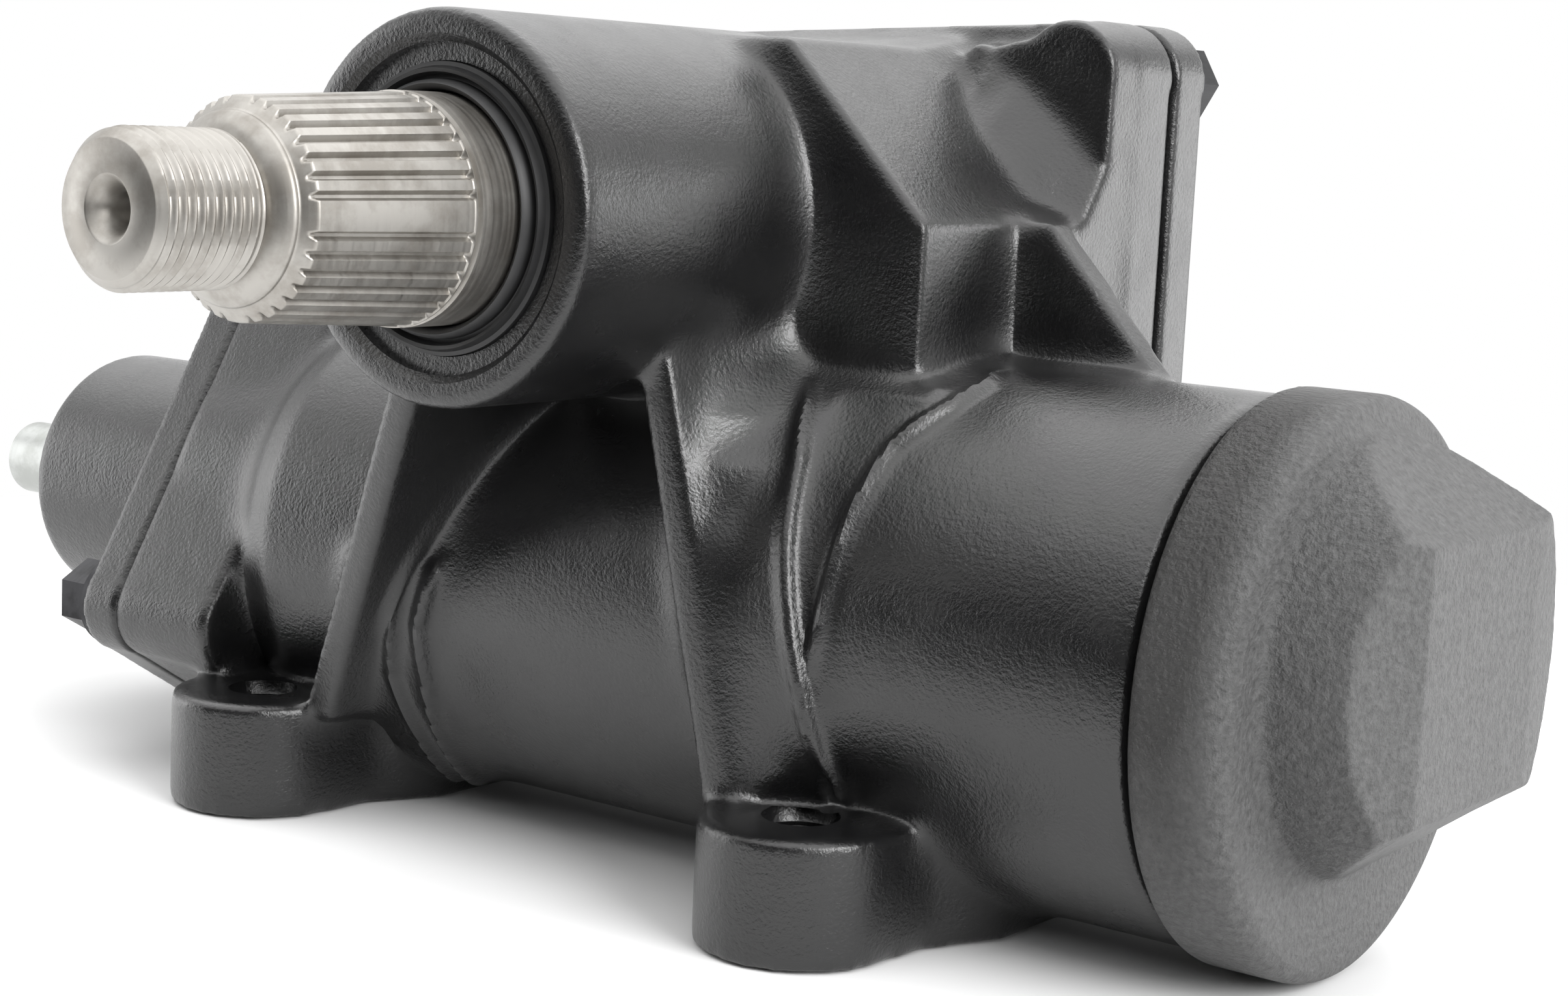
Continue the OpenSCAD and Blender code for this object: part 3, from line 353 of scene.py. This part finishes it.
def modified(mesh, kind, **settings):
    holder = bpy.data.objects.new("holder", mesh)
    bpy.context.scene.collection.objects.link(holder)
    step = holder.modifiers.new("step", kind)
    for key, value in settings.items():
        setattr(step, key, value)
    bpy.context.view_layer.update()
    made = bpy.data.meshes.new_from_object(holder.evaluated_get(bpy.context.evaluated_depsgraph_get()))
    bpy.data.objects.remove(holder)
    return made


def carved(mesh, cutters):
    # takes each machined cutter out of a cast skin
    for cutter in cutters:
        tool = bpy.data.objects.new("tool", cutter)
        bpy.context.scene.collection.objects.link(tool)
        mesh = modified(mesh, "BOOLEAN", operation="DIFFERENCE", object=tool, solver="MANIFOLD")
        bpy.data.objects.remove(tool)
    return mesh


def coordinates(mesh):
    flat = np.empty(len(mesh.vertices) * 3, np.float32)
    mesh.vertices.foreach_get("co", flat)
    return flat.reshape(-1, 3).astype(float)


def setCoordinates(mesh, co):
    mesh.vertices.foreach_set("co", co.astype(np.float32).ravel())
    mesh.update()


def vertexNormals(mesh):
    flat = np.empty(len(mesh.vertices) * 3, np.float32)
    mesh.vertex_normals.foreach_get("vector", flat)
    return flat.reshape(-1, 3).astype(float)


def neighbourMean(mesh):
    ends = np.empty(len(mesh.edges) * 2, np.int32)
    mesh.edges.foreach_get("vertices", ends)
    ends = ends.reshape(-1, 2)
    both = np.concatenate([ends, ends[:, ::-1]])
    both = both[np.argsort(both[:, 0], kind="stable")]
    counts = np.bincount(both[:, 0], minlength=len(mesh.vertices))
    starts = np.concatenate([[0], np.cumsum(counts)[:-1]])
    return lambda co: np.add.reduceat(co[both[:, 1]], starts, axis=0) / counts[:, None]


# how a cast skin is softened: rounding shrinks and swells, fillets fill, and a last run settles
softening = {"shrink": 0.5, "swell": 0.312, "normalsEvery": 4, "settlePasses": 3, "settle": 0.4}


def castSkin(name, meshes, form, filletWeight=None, reshape=None, beads=None, cuts=()):
    # a casting's skin: solids fused, outside edges rounded, inside corners filled to fillets, beads raised
    voxels = {"mode": "VOXEL", "voxel_size": form["voxelMm"] * mm, "adaptivity": 0.0}
    mesh = modified(joinedMesh(name, meshes), "REMESH", **voxels)
    if cuts:
        mesh = modified(carved(mesh, cuts), "REMESH", **voxels)
    mean = neighbourMean(mesh)
    co = coordinates(mesh)
    for _ in range(form["roundPasses"]):
        co = co + softening["shrink"] * (mean(co) - co)
        co = co - softening["swell"] * (mean(co) - co)
    if reshape:
        co = reshape(co / mm) * mm
    weight = np.ones(len(co)) if filletWeight is None else filletWeight(co / mm)
    for step in range(form["filletPasses"]):
        if step % softening["normalsEvery"] == 0:
            setCoordinates(mesh, co)
            normals = vertexNormals(mesh)
        pull = np.einsum("ij,ij->i", mean(co) - co, normals)
        co = co + normals * (np.clip(pull, 0, None) * weight)[:, None]
    for _ in range(softening["settlePasses"]):
        co = co + softening["settle"] * (mean(co) - co)
    setCoordinates(mesh, co)
    if beads:
        setCoordinates(mesh, co + vertexNormals(mesh) * (beads(co / mm) * mm)[:, None])
    print("cast skin", name, len(co), "points")
    return mesh


# gear housing: the raw casting with its bores filled, then machined
housingForm = {
    "voxelMm": 0.9, "filletPasses": 55, "roundPasses": 9, "barrelRadius": 54, "barrel": (-118, 143),
    # machined bores, their depths, and how far each cutter runs out
    "bore": 42, "plugThread": 47.5, "plugDepth": 17, "spigot": 36, "spigotDepth": 14,
    "lip": 24, "lipDepth": 18,
    "tubeFace": -93.5, "recess": 31.5, "recessDepth": 3, "recessBevel": 1.5, "sealBore": 28, "sealDepth": 24,
    "needleBore": 26, "needleEnd": -17.5, "shaftBore": 23, "coverSeat": 59,
    "chamberFront": -16, "chamberRadius": 58.5, "chamberTop": 30, "chamberSlope": 56.8, "runOut": 6,
    # feet with their tapped holes
    "feetX": 75, "feetY": 55, "footTop": 25, "footTap": 7, "footPitch": 2.0, "footThreadDepth": 0.5,
    "footThreadStart": -2, "footThreadSpare": 0.5, "footFlare": 0.7, "footOver": 0.3,
    # plain bodies in the bores: a radius and an end, or an outline
    "neckFill": (44, 28), "barrelFill": (50, 36), "tubeFill": (34, 10), "chamberFill": (30, -20),
    "footFill": 10, "hoodFillFront": -18,
    "hoodFill": [(-60, -62), (60, -62), (60, -6), (33, 31), (-33, 31), (-60, -6)],
    # sweep and roof beside the cover flange: x, start in y, low, high
    "corner": [(43, 34, 168, 172), (48, 31, 164.5, 175.6), (52.4, 25.6, 160, 174.2), (59.4, 19.5, 153, 168.8),
               (65.6, 18.5, 146.8, 163.8), (70, 19, 142.5, 160.4), (76, 20, 136.5, 155.3),
               (82.4, 22, 134, 149.6)],
    "roof": [(-27, 36, 165.6, 173), (-18, 18, 173, 175.6), (0, 12, 173, 176.5), (30, 14, 173, 177.4),
             (40, 22, 173, 177.4), (50, 29, 162.5, 176.6)],
    "cornerFace": 33.2, "flangeIn": 46, "roofThick": 6,
    # valve joint round its bolts
    "valveBolts": [(-50, -20), (-12, -43.5), (50, -24), (-5, 60)], "jointRadius": 10.7, "jointDepth": 2.2,
    "jointSunk": 3,
    # sloping flank of the near rib: height, edge, foot, and for the web the foot's place in y
    "flank": [(24, 58, 78.5), (38, 56, 76.6), (50.5, 53, 74.1), (64, 49.5, 70.2), (74.5, 47, 66.8),
              (90, 43.2, 62.4)],
    "web": [(99, 41, 57.4, -32.8), (104, 40, 53.5, -26), (108, 39, 50, -23), (112, 38, 47, -22),
            (118, 40, 45, -22), (124, 42.5, 44.6, -22)],
    "flankFront": -58.3, "flankThick": 5, "flankSunk": 8,
    # what is trimmed off the root pad: low, high, far end
    "trim": (27, 104, 92), "trimRadius": 54.1, "trimSections": 24, "trimLift": 3.4,
    "trimFade": 8, "trimDeep": 9,
    # beads, and where fillets are held back
    "beadHeight": 1.8, "beadWidth": 1.6, "beadTaper": 9, "beadBand": (43, 61), "beadFade": 3,
    "seatRadius": 10, "seatFade": 5, "seatAbove": 8, "flangeFrom": (14, 108),
    "flangeFade": 8, "flangeHold": 0.7,
}

# beads that run over the casting, as points on or near its skin
beadLines = {
    "webFoot": [(53.5, -27, 104), (57.4, -32.8, 98.9), (62.4, -42.2, 89.8), (66.8, -50.7, 74.5),
                (70.2, -53.4, 63.9), (74.1, -53.7, 50.5), (77.7, -48.6, 32.4), (78, -44, 24)],
    "hoodFoot": [(84, -6, 109.6), (88, -17.7, 107), (85.7, -27, 102.8), (79.6, -37.2, 95.2),
                 (77.5, -48, 80.7), (77.2, -51.5, 72.2), (76.6, -53.6, 62.3), (75, -53.8, 50)],
    "leftBow": [(-13.8, -44.4, 86.8), (-25.6, -53.1, 66), (-33, -53.6, 49.4), (-37, -50, 35.5),
                (-37.4, -41.3, 21.3), (-42.8, -18.4, 5)],
    "leftInnerBow": [(-20.9, -53.5, 63.6), (-26.9, -53.3, 47.1), (-27.9, -49.2, 33.8), (-32.4, -34.7, 14.6),
                     (-36, -20, 6)],
}


def footPlaces(h):
    return [(sideX * h["feetX"], sideY * h["feetY"]) for sideX in (-1, 1) for sideY in (-1, 1)]


def barrelSide(h, z):
    # the barrel's near side at a height
    return -math.sqrt(h["trimRadius"] ** 2 - (z - axes["pistonHeight"]) ** 2)


def boreFills(h):
    # plain bodies that close the bores, so that the skin is cast as one lump
    valveEnd, plugEnd = h["barrel"]
    (neck, neckEnd), (barrel, barrelStart) = h["neckFill"], h["barrelFill"]
    (tube, tubeEnd), (chamber, chamberFront) = h["tubeFill"], h["chamberFill"]
    face, seat, foot, top = h["tubeFace"], h["coverSeat"], h["footFill"], h["footTop"]
    barrelProfile = [(0, valveEnd), (neck, valveEnd), (neck, valveEnd + neckEnd),
                     (barrel, valveEnd + barrelStart), (barrel, plugEnd), (0, plugEnd)]
    chamberProfile = [(0, chamberFront), (chamber, chamberFront), (chamber, seat), (0, seat)]
    fills = [turnedMesh("fillBarrel", barrelProfile, "piston"),
             turnedMesh("fillTube", [(0, face), (tube, face), (tube, tubeEnd), (0, tubeEnd)], "sector"),
             turnedMesh("fillChamber", chamberProfile, "sector"),
             prismMesh("fillHood", h["hoodFill"], h["hoodFillFront"], seat, "sector")]
    return fills + [turnedMesh("fillFoot", [(0, 0), (foot, 0), (foot, top), (0, top)], "up", centre=place)
                    for place in footPlaces(h)]


def castBlends(h):
    # the sweep and roof beside the cover flange, the sloping flank of the near rib, and the valve joint
    face, flange, thick = h["cornerFace"], h["flangeIn"], h["roofThick"]
    corner = [[(x, y, low), (x, face, high), (x, flange, high), (x, flange, low)]
              for x, y, low, high in h["corner"]]
    roof = [[(x, y, low - thick), (x, flange, low - thick), (x, flange, high), (x, y, low)]
            for x, y, low, high in h["roof"]]
    front, inside, sunk = h["flankFront"], h["flankThick"], h["flankSunk"]
    slope = [(z, edge, foot, barrelSide(h, z)) for z, edge, foot in h["flank"]] + h["web"]
    flank = [[(edge, front, z), (foot, y, z), (foot - inside, y + sunk, z), (edge - inside, y + sunk, z),
              (edge - inside, front, z)] for z, edge, foot, y in slope]
    angles = np.linspace(0, 2 * math.pi, 48, endpoint=False)
    circle = [(h["jointRadius"] * math.cos(t), h["jointRadius"] * math.sin(t)) for t in angles]
    joint = outerHull([(y + u, z + v) for y, z in h["valveBolts"] for u, v in circle])
    valveEnd = h["barrel"][0]
    return [loftMesh("cornerSweep", corner), loftMesh("roofBlend", roof), loftMesh("ribFlank", flank),
            prismMesh("jointFill", joint, valveEnd - h["jointDepth"], valveEnd + h["jointSunk"], "piston")]


def padTrim(h):
    # what is cut off the root pad beside the rib; the cut runs out to nothing at its upper end
    low, high, far = h["trim"]
    heights, _, feet = zip(*h["flank"])
    sections = []
    for z in np.linspace(low, high, h["trimSections"]):
        near = float(np.interp(z, heights, feet))
        y = barrelSide(h, z) - h["trimLift"] * np.clip((z - high + h["trimFade"]) / h["trimFade"], 0, 1)
        outside = y - h["trimDeep"]
        sections.append([(near, y, z), (far, y, z), (far, outside, z), (near, outside, z)])
    return loftMesh("padTrim", sections)


def unrolled(y, z):
    # distance round the barrel's skin from its top
    return housingForm["barrelRadius"] * np.arctan2(-y, z - axes["pistonHeight"])


def beadRise(at):
    # each bead's height by its distance over the barrel's unrolled skin
    h = housingForm
    x, y, z = at.T
    arc = unrolled(y, z)
    fromAxis = np.hypot(y, z - axes["pistonHeight"])
    rise = np.zeros(len(at))
    for line in beadLines.values():
        track = np.array([(px, unrolled(py, pz)) for px, py, pz in line])
        lengths = np.hypot(*np.diff(track, axis=0).T)
        before = np.concatenate([[0], np.cumsum(lengths)])
        for k, length in enumerate(lengths):
            ahead = (track[k + 1] - track[k]) / length
            run = np.clip((x - track[k][0]) * ahead[0] + (arc - track[k][1]) * ahead[1], 0, length)
            away = np.hypot(x - track[k][0] - run * ahead[0], arc - track[k][1] - run * ahead[1])
            fromEnd = np.minimum(before[k] + run, before[-1] - before[k] - run)
            taper = np.clip(fromEnd / h["beadTaper"], 0, 1)
            rise = np.maximum(rise, np.exp(-(away / h["beadWidth"]) ** 2) * taper)
    inner, outer = h["beadBand"]
    onSkin = (np.clip((fromAxis - inner) / h["beadFade"], 0, 1)
              * np.clip((outer - fromAxis) / h["beadFade"], 0, 1))
    return h["beadHeight"] * rise * onSkin * (y < 0)


def filletWeight(at):
    # no fillet runs up over a foot's bolt seat, and those by the cover's flange stay small
    h = housingForm
    away = np.hypot(np.abs(at[:, 0]) - h["feetX"], np.abs(at[:, 1]) - h["feetY"])
    seat = np.clip((away - h["seatRadius"]) / h["seatFade"], 0, 1)
    fromY, fromZ = h["flangeFrom"]
    byFlange = (np.clip((at[:, 1] - fromY) / h["flangeFade"], 0, 1)
                * np.clip((at[:, 2] - fromZ) / h["flangeFade"], 0, 1))
    return np.where(at[:, 2] < h["footTop"] + h["seatAbove"], seat, 1 - h["flangeHold"] * byFlange)


def boreCutters(h):
    # the machined bores of the piston and the sector tube, and the chamber behind the cover
    valveEnd, plugEnd = h["barrel"]
    out, bevel, recess = h["runOut"], h["recessBevel"], h["recess"]
    lipFace, lipBack = valveEnd + h["spigotDepth"], valveEnd + h["lipDepth"]
    plugSeat = plugEnd - h["plugDepth"]
    piston = [(0, valveEnd - out), (h["spigot"], valveEnd - out), (h["spigot"], lipFace), (h["lip"], lipFace),
              (h["lip"], lipBack), (h["bore"], lipBack), (h["bore"], plugSeat), (h["plugThread"], plugSeat),
              (h["plugThread"], plugEnd + out), (0, plugEnd + out)]
    face, needleEnd = h["tubeFace"], h["needleEnd"]
    recessEnd, sealEnd = face + h["recessDepth"], face + h["sealDepth"]
    tube = [(0, face - out), (recess + out + bevel, face - out), (recess + bevel, face),
            (recess, face + bevel), (recess, recessEnd), (h["sealBore"], recessEnd), (h["sealBore"], sealEnd),
            (h["needleBore"], sealEnd), (h["needleBore"], needleEnd), (h["shaftBore"], needleEnd),
            (h["shaftBore"], 0), (0, 0)]
    angles = np.linspace(0, 2 * math.pi, 96, endpoint=False)
    u, v = h["chamberRadius"] * np.cos(angles), h["chamberRadius"] * np.sin(angles)
    v = np.minimum(v, h["chamberTop"])
    sloped = (h["chamberSlope"] - v) / np.maximum(np.abs(u), 1)
    u = u * np.where(np.abs(u) + v > h["chamberSlope"], sloped, 1)
    return [turnedMesh("cutBores", piston, "piston", 128), turnedMesh("cutTube", tube, "sector", 128),
            prismMesh("cutChamber", list(zip(u, v)), h["chamberFront"], h["coverSeat"] + out, "sector")]


def footCutters(h):
    # the tapped holes, each with its thread as rings
    r, top, pitch, out = h["footTap"], h["footTop"], h["footPitch"], h["runOut"]
    steps = round((top + h["footThreadSpare"]) * 2 / pitch)
    thread = [(r + h["footThreadDepth"] * (i % 2), h["footThreadStart"] + i * pitch / 2)
              for i in range(steps)]
    over = top + h["footOver"]
    profile = [(0, -out), (r, -out)] + thread + [(r + h["footFlare"], over), (0, over)]
    return [turnedMesh("cutFoot", profile, "up", 64, place) for place in footPlaces(h)]


def makeHousing(h):
    solids = [nodeMesh("housing")] + boreFills(h) + castBlends(h)
    skin = castSkin("housing", solids, h, filletWeight, beads=beadRise, cuts=[padTrim(h)])
    skin = carved(skin, boreCutters(h) + footCutters(h))
    piece = placePiece(skin, "gearHousing", "gear_housing", enamel, sharpDegrees=38)
    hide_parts("housing")
    print("housing machined:", len(skin.vertices), "points")


makeHousing(housingForm)


# end plug, valve housing and side cover: cast or forged skins over their CAD solids
plugBoss = {"rim": 164, "front": 187, "middle": -2.5, "flat": 25, "nearDrop": 0.2, "farLift": 0.17}


def slopeBoss(at):
    # the wrench boss's near flat falls away more than in the solid, and its far flat less
    high = np.clip((at[:, 0] - plugBoss["rim"]) / (plugBoss["front"] - plugBoss["rim"]), 0, 1)
    across = at[:, 1] - plugBoss["middle"]
    near = np.clip(-across - plugBoss["flat"], 0, None) * plugBoss["nearDrop"]
    far = np.clip(across - plugBoss["flat"], 0, None) * plugBoss["farLift"]
    moved = at.copy()
    moved[:, 0] -= high * (near - far)
    return moved


skinForms = {
    "end_plug": {"name": "endPlug", "voxelMm": 0.7, "filletPasses": 16, "roundPasses": 1,
                 "reshape": slopeBoss, "slot": "plug_iron", "material": plugCoat},
    "valve_housing": {"name": "valveHousing", "voxelMm": 0.9, "filletPasses": 8, "roundPasses": 4,
                      "slot": "enamelled_iron", "material": enamel},
    "side_cover": {"name": "sideCover", "voxelMm": 0.9, "filletPasses": 10, "roundPasses": 4,
                   "slot": "enamelled_iron", "material": enamel},
}
for node, form in skinForms.items():
    skin = castSkin(form["name"], [nodeMesh(node)], form, reshape=form.get("reshape"))
    piece = placePiece(skin, form["name"], "gear_housing", form["material"], sharpDegrees=50)
    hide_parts(node)


# sector shaft: the end outside the tube with its thread, indexed spline and journal
shaftForm = {
    "end": -170.5, "chamfer": 2.2, "drillTip": 11.5, "drill": [(2.6, 10), (2.6, 4.5), (5.6, 0.2), (6.0, 0)],
    "thread": 14.0, "threadEnd": -148.2, "threadPitch": 2.0, "threadDepth": 0.8, "threadSteep": 1.25,
    "threadCrest": 0.12, "threadLead": 1.0, "threadFade": 1.5,
    "neck": 13.1, "neckFlare": 0.9, "neckRun": 1.0, "neckFade": 1.5,
    "shoulderEnd": -143.6, "shoulderRise": 4.1, "shoulderAt": 1.2, "shoulderRun": 2.6, "shoulderCurve": 0.6,
    "splineEnd": -104.6, "splineSmall": 19.8, "splineBig": 21.7, "splineDepth": 1.2, "splineBevel": 1.25,
    "gapWidth": 0.46, "gapFlank": 0.26, "places": 36, "blankEvery": 9,
    "journal": 22.0, "grooveDepth": 1.3, "grooveAt": 0.9, "grooveHalf": 0.7, "cutAt": -60.0,
    # how finely the skin is divided
    "perPlace": 12, "fineStep": 0.2, "neckStep": 0.35, "bevelStep": 0.3, "bevelRun": 4, "splineStep": 3.0,
    "splineRun": 3, "grooveRun": 2.4, "journalRows": [-95, -80],
}


def shaftRadius(theta, y, s):
    # radius of the shaft's outside at each angle, for one place along the axis
    phase = (y - s["end"]) / s["threadPitch"] - theta / (2 * math.pi)
    tooth = np.abs((phase % 1.0) - 0.5) * 2
    fade = (np.clip((s["threadEnd"] - y) / s["threadFade"], 0, 1)
            * np.clip((y - s["end"]) / s["threadLead"], 0, 1))
    cut = np.clip(s["threadSteep"] * tooth - s["threadCrest"], 0, 1) * fade
    bevelled = s["thread"] - s["chamfer"] + (y - s["end"])
    threaded = np.minimum(s["thread"] - s["threadDepth"] * cut, bevelled)
    neck = s["neck"] + s["neckFlare"] * np.clip((s["threadEnd"] - y + s["neckRun"]) / s["neckFade"], 0, 1)
    rise = np.clip((y - s["threadEnd"] - s["shoulderAt"]) / s["shoulderRun"], 0, 1) ** s["shoulderCurve"]
    collar = np.maximum(neck, s["neck"] + s["shoulderRise"] * rise)
    share = (y - s["shoulderEnd"]) / (s["splineEnd"] - s["shoulderEnd"])
    cone = s["splineSmall"] + (s["splineBig"] - s["splineSmall"]) * share
    place = theta / (2 * math.pi) * s["places"]
    toothed = np.round(place).astype(int) % s["blankEvery"] != 0
    gapAt = np.abs(place - np.round(place)) * 2
    gap = s["splineDepth"] * np.clip((s["gapWidth"] - gapAt) / s["gapFlank"], 0, 1) * toothed
    lead = s["neck"] + s["shoulderRise"] + s["splineBevel"] * np.clip(y - s["shoulderEnd"], 0, None)
    splined = np.minimum(cone - gap, lead)
    groove = np.clip(1 - np.abs(y - s["splineEnd"] - s["grooveAt"]) / s["grooveHalf"], 0, 1)
    r = np.where(y < s["threadEnd"], threaded, collar)
    r = np.where(y < s["shoulderEnd"], r, splined)
    return np.where(y < s["splineEnd"], r, s["journal"] - s["grooveDepth"] * groove)


def shaftRows(s):
    # places along the axis where the skin has a ring of points
    shoulder, spline = s["shoulderEnd"], s["splineEnd"]
    bevelEnd, grooveStart = shoulder + s["bevelRun"], spline - s["splineRun"]
    stretches = [(s["end"], s["threadEnd"], s["fineStep"]), (s["threadEnd"], shoulder, s["neckStep"]),
                 (shoulder, bevelEnd, s["bevelStep"]), (bevelEnd, grooveStart, s["splineStep"]),
                 (grooveStart, spline + s["grooveRun"], s["fineStep"])]
    return np.concatenate([np.arange(*stretch) for stretch in stretches] + [s["journalRows"], [s["cutAt"]]])


def shaftEnd(s):
    # from the tip of the centre drill over the end, the thread and the spline to the journal
    segments = s["places"] * s["perPlace"]
    theta = np.linspace(0, 2 * math.pi, segments, endpoint=False)
    rings = [(np.full(segments, r), s["end"] + depth) for r, depth in s["drill"]]
    rings += [(shaftRadius(theta, y, s), y) for y in shaftRows(s)]
    points, loops = [(0, 0, s["end"] + s["drillTip"])], [[0] * segments]
    for radius, y in rings:
        loops.append(list(range(len(points), len(points) + segments)))
        points += list(zip(radius * np.cos(theta), radius * np.sin(theta), np.full(segments, y)))
    faces = []
    for low, high in zip(loops, loops[1:]):
        for i in range(segments):
            j = (i + 1) % segments
            foot = [low[i]] if low[i] == low[j] else [low[i], low[j]]
            faces.append(foot + [high[j], high[i]])
    return outwardNormals(meshFrom("shaftEnd", toAxis(points, "sector"), faces))


def shaftInner(s):
    # the CAD solid's part inside the tube
    work = bmesh.new()
    work.from_mesh(nodeMesh("sector_shaft"))
    everything = work.verts[:] + work.edges[:] + work.faces[:]
    bmesh.ops.bisect_plane(work, geom=everything, plane_co=(0, s["cutAt"] * mm, 0), plane_no=(0, 1, 0),
                           clear_inner=True)
    inner = bpy.data.meshes.new("shaftInner")
    work.to_mesh(inner)
    work.free()
    return inner


def makeSectorShaft(s):
    mesh = joinedMesh("sectorShaft", [shaftEnd(s), shaftInner(s)])
    piece = placePiece(mesh, "sectorShaft", "sector", shaftSteel, sharpDegrees=30)
    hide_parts("sector_shaft")
    print("sector shaft made:", len(piece.data.vertices), "points")


makeSectorShaft(shaftForm)


# sector dust seal: a moulded ring with two lips and a flat back
sealForm = {"face": housingForm["tubeFace"],
            "profile": [(22.3, 1.2), (22.8, -0.6), (23.6, -1.1), (24.3, -0.3), (24.6, 1.9), (25.3, 2.3),
                        (25.8, 0.5), (26.5, 0.2), (27.0, 1.7), (27.8, 2.0), (27.8, 9), (25, 9), (22.3, 5)]}
sealProfile = [(r, sealForm["face"] + w) for r, w in sealForm["profile"]]
seal = turnedMesh("sectorDustSeal", sealProfile, "sector", 128)
sealPiece = placePiece(seal, "sectorDustSeal", "gear_housing", rubber, sharpDegrees=50)
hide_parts("sector_dust_seal")
print("dust seal made")


# materials of the pieces that keep their CAD solids, by slot
carried = {
    "rubber": rubber, "shaft_steel": ringSteel, "hardened_steel": innerSteel, "black_bolt_steel": boltSteel,
    "bearing_bronze": bushBronze, "valve_ring_plastic": ringPlastic, "input_steel": inputSteel,
}
slotOf = {part["node"]: part["material_slot"] for part in frame["record"]["subparts"]}


# bolts, nut and input dust seal: the CAD solids with their edges broken
edgeForms = {"cover_bolts_set": ("coverBolts", 0.5), "valve_housing_bolts": ("valveBolts", 0.5),
             "adjuster_lock_nut": ("lockNut", 0.5), "input_dust_seal": ("inputDustSeal", 0.3)}
for node, (name, breakMm) in edgeForms.items():
    broken = modified(nodeMesh(node), "BEVEL", width=breakMm * mm, segments=2, limit_method="ANGLE",
                      angle_limit=math.radians(25))
    piece = placePiece(broken, name, "gear_housing", carried[slotOf[node]], sharpDegrees=40)
    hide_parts(node)
print("edges broken on", len(edgeForms), "pieces")


# carried-over CAD pieces
for node, piece in frame["nodes"].items():
    if slotOf[node] in carried:
        piece.data.materials.clear()
        piece.data.materials.append(carried[slotOf[node]])
print("materials set on the carried pieces")


# floor and light
stageForm = {"floorRadius": 0.5, "floorGap": 0.0005, "floorColour": "#f7f7f7", "roomFill": 0.7,
             "curtain": {"radius": 2.6, "from": -135, "to": -12, "low": -1.2, "high": 1.3,
                         "colour": "#161616"},
             "overhead": {"strength": 2.6, "spread": 104, "aim": (0.05, -0.12, -1.0), "place": (0, 0, 2)}}
softboxes = {
    "rightSoftbox": {"place": (1.5, -0.35, 0.75), "aim": (0.15, 0, 0.06), "size": (0.9, 0.9), "power": 27.0},
    "backSoftbox": {"place": (0.85, 1.4, 0.1), "aim": (0.08, 0, 0.12), "size": (0.8, 0.9), "power": 6.5},
    "leftSoftbox": {"place": (-1.15, -0.5, 0.15), "aim": (0, 0, 0.08), "size": (0.8, 0.9), "power": 4.2},
}


def stagePiece(name, mesh, colour):
    piece = bpy.data.objects.new(name, mesh)
    bpy.context.scene.collection.objects.link(piece)
    material, _, shader, _ = newMaterial(name + "Cloth")  # matt, without a pattern of its own
    shader.inputs["Base Color"].default_value = toLinear(colour)
    shader.inputs["Roughness"].default_value = 0.9
    mesh.materials.append(material)
    return piece


def makeFloor(s):
    rim = [(s["floorRadius"] * math.cos(t), s["floorRadius"] * math.sin(t), 0)
           for t in np.linspace(0, 2 * math.pi, 128, endpoint=False)]
    floor = stagePiece("floor", meshFrom("floor", rim, [list(range(len(rim)))]), s["floorColour"])
    floor.location.z = cadLow.z - s["floorGap"]


def makeCurtain(c):
    # a dark curtain round the front of the studio, for the near walls to reflect
    turns = np.radians(np.linspace(c["from"], c["to"], 48))
    points = [(c["radius"] * math.cos(t), c["radius"] * math.sin(t), z)
              for z in (c["low"], c["high"]) for t in turns]
    n = len(turns)
    faces = [[i, i + 1, n + i + 1, n + i] for i in range(n - 1)]
    curtain = stagePiece("curtain", meshFrom("curtain", points, faces), c["colour"])
    curtain.visible_camera = False  # views from behind look through it


def makeRoom(s):
    # white room: plain white to the lens and in reflections, dimmer as light on the object
    world = bpy.data.worlds.new("studio")
    world.use_nodes = True
    tree = world.node_tree
    sky = tree.nodes["Background"]
    sky.inputs["Color"].default_value = toLinear("#ffffff")
    path = addNode(tree, "ShaderNodeLightPath")
    lensOrGloss = addNode(tree, "ShaderNodeMath", operation="MAXIMUM")
    seen = addNode(tree, "ShaderNodeMath", {1: path.outputs["Is Transmission Ray"]}, operation="MAXIMUM")
    tree.links.new(path.outputs["Is Camera Ray"], lensOrGloss.inputs[0])
    tree.links.new(path.outputs["Is Glossy Ray"], lensOrGloss.inputs[1])
    tree.links.new(lensOrGloss.outputs["Value"], seen.inputs[0])
    level = addNode(tree, "ShaderNodeMix", {"Factor": seen.outputs["Value"]}, data_type="FLOAT")
    level.inputs["A"].default_value = s["roomFill"]
    level.inputs["B"].default_value = 1.0
    tree.links.new(level.outputs["Result"], sky.inputs["Strength"])
    bpy.context.scene.world = world


def addLamp(name, kind, aim, place, **settings):
    light = bpy.data.lights.new(name, kind)
    for key, value in settings.items():
        setattr(light, key, value)
    lamp = bpy.data.objects.new(name, light)
    bpy.context.scene.collection.objects.link(lamp)
    lamp.location = place
    lamp.rotation_euler = Vector(aim).to_track_quat("-Z", "Y").to_euler()
    lamp.visible_camera = False


makeFloor(stageForm)
makeCurtain(stageForm["curtain"])
makeRoom(stageForm)
overhead = stageForm["overhead"]
addLamp("overheadBank", "SUN", overhead["aim"], overhead["place"], energy=overhead["strength"],
        angle=math.radians(overhead["spread"]))
for name, box in softboxes.items():
    wide, tall = box["size"]
    aim = Vector(box["aim"]) - Vector(box["place"])
    addLamp(name, "AREA", aim, box["place"], energy=box["power"], shape="RECTANGLE", size=wide, size_y=tall)
bpy.context.scene.view_settings.view_transform = "Standard"
print("stage lit")
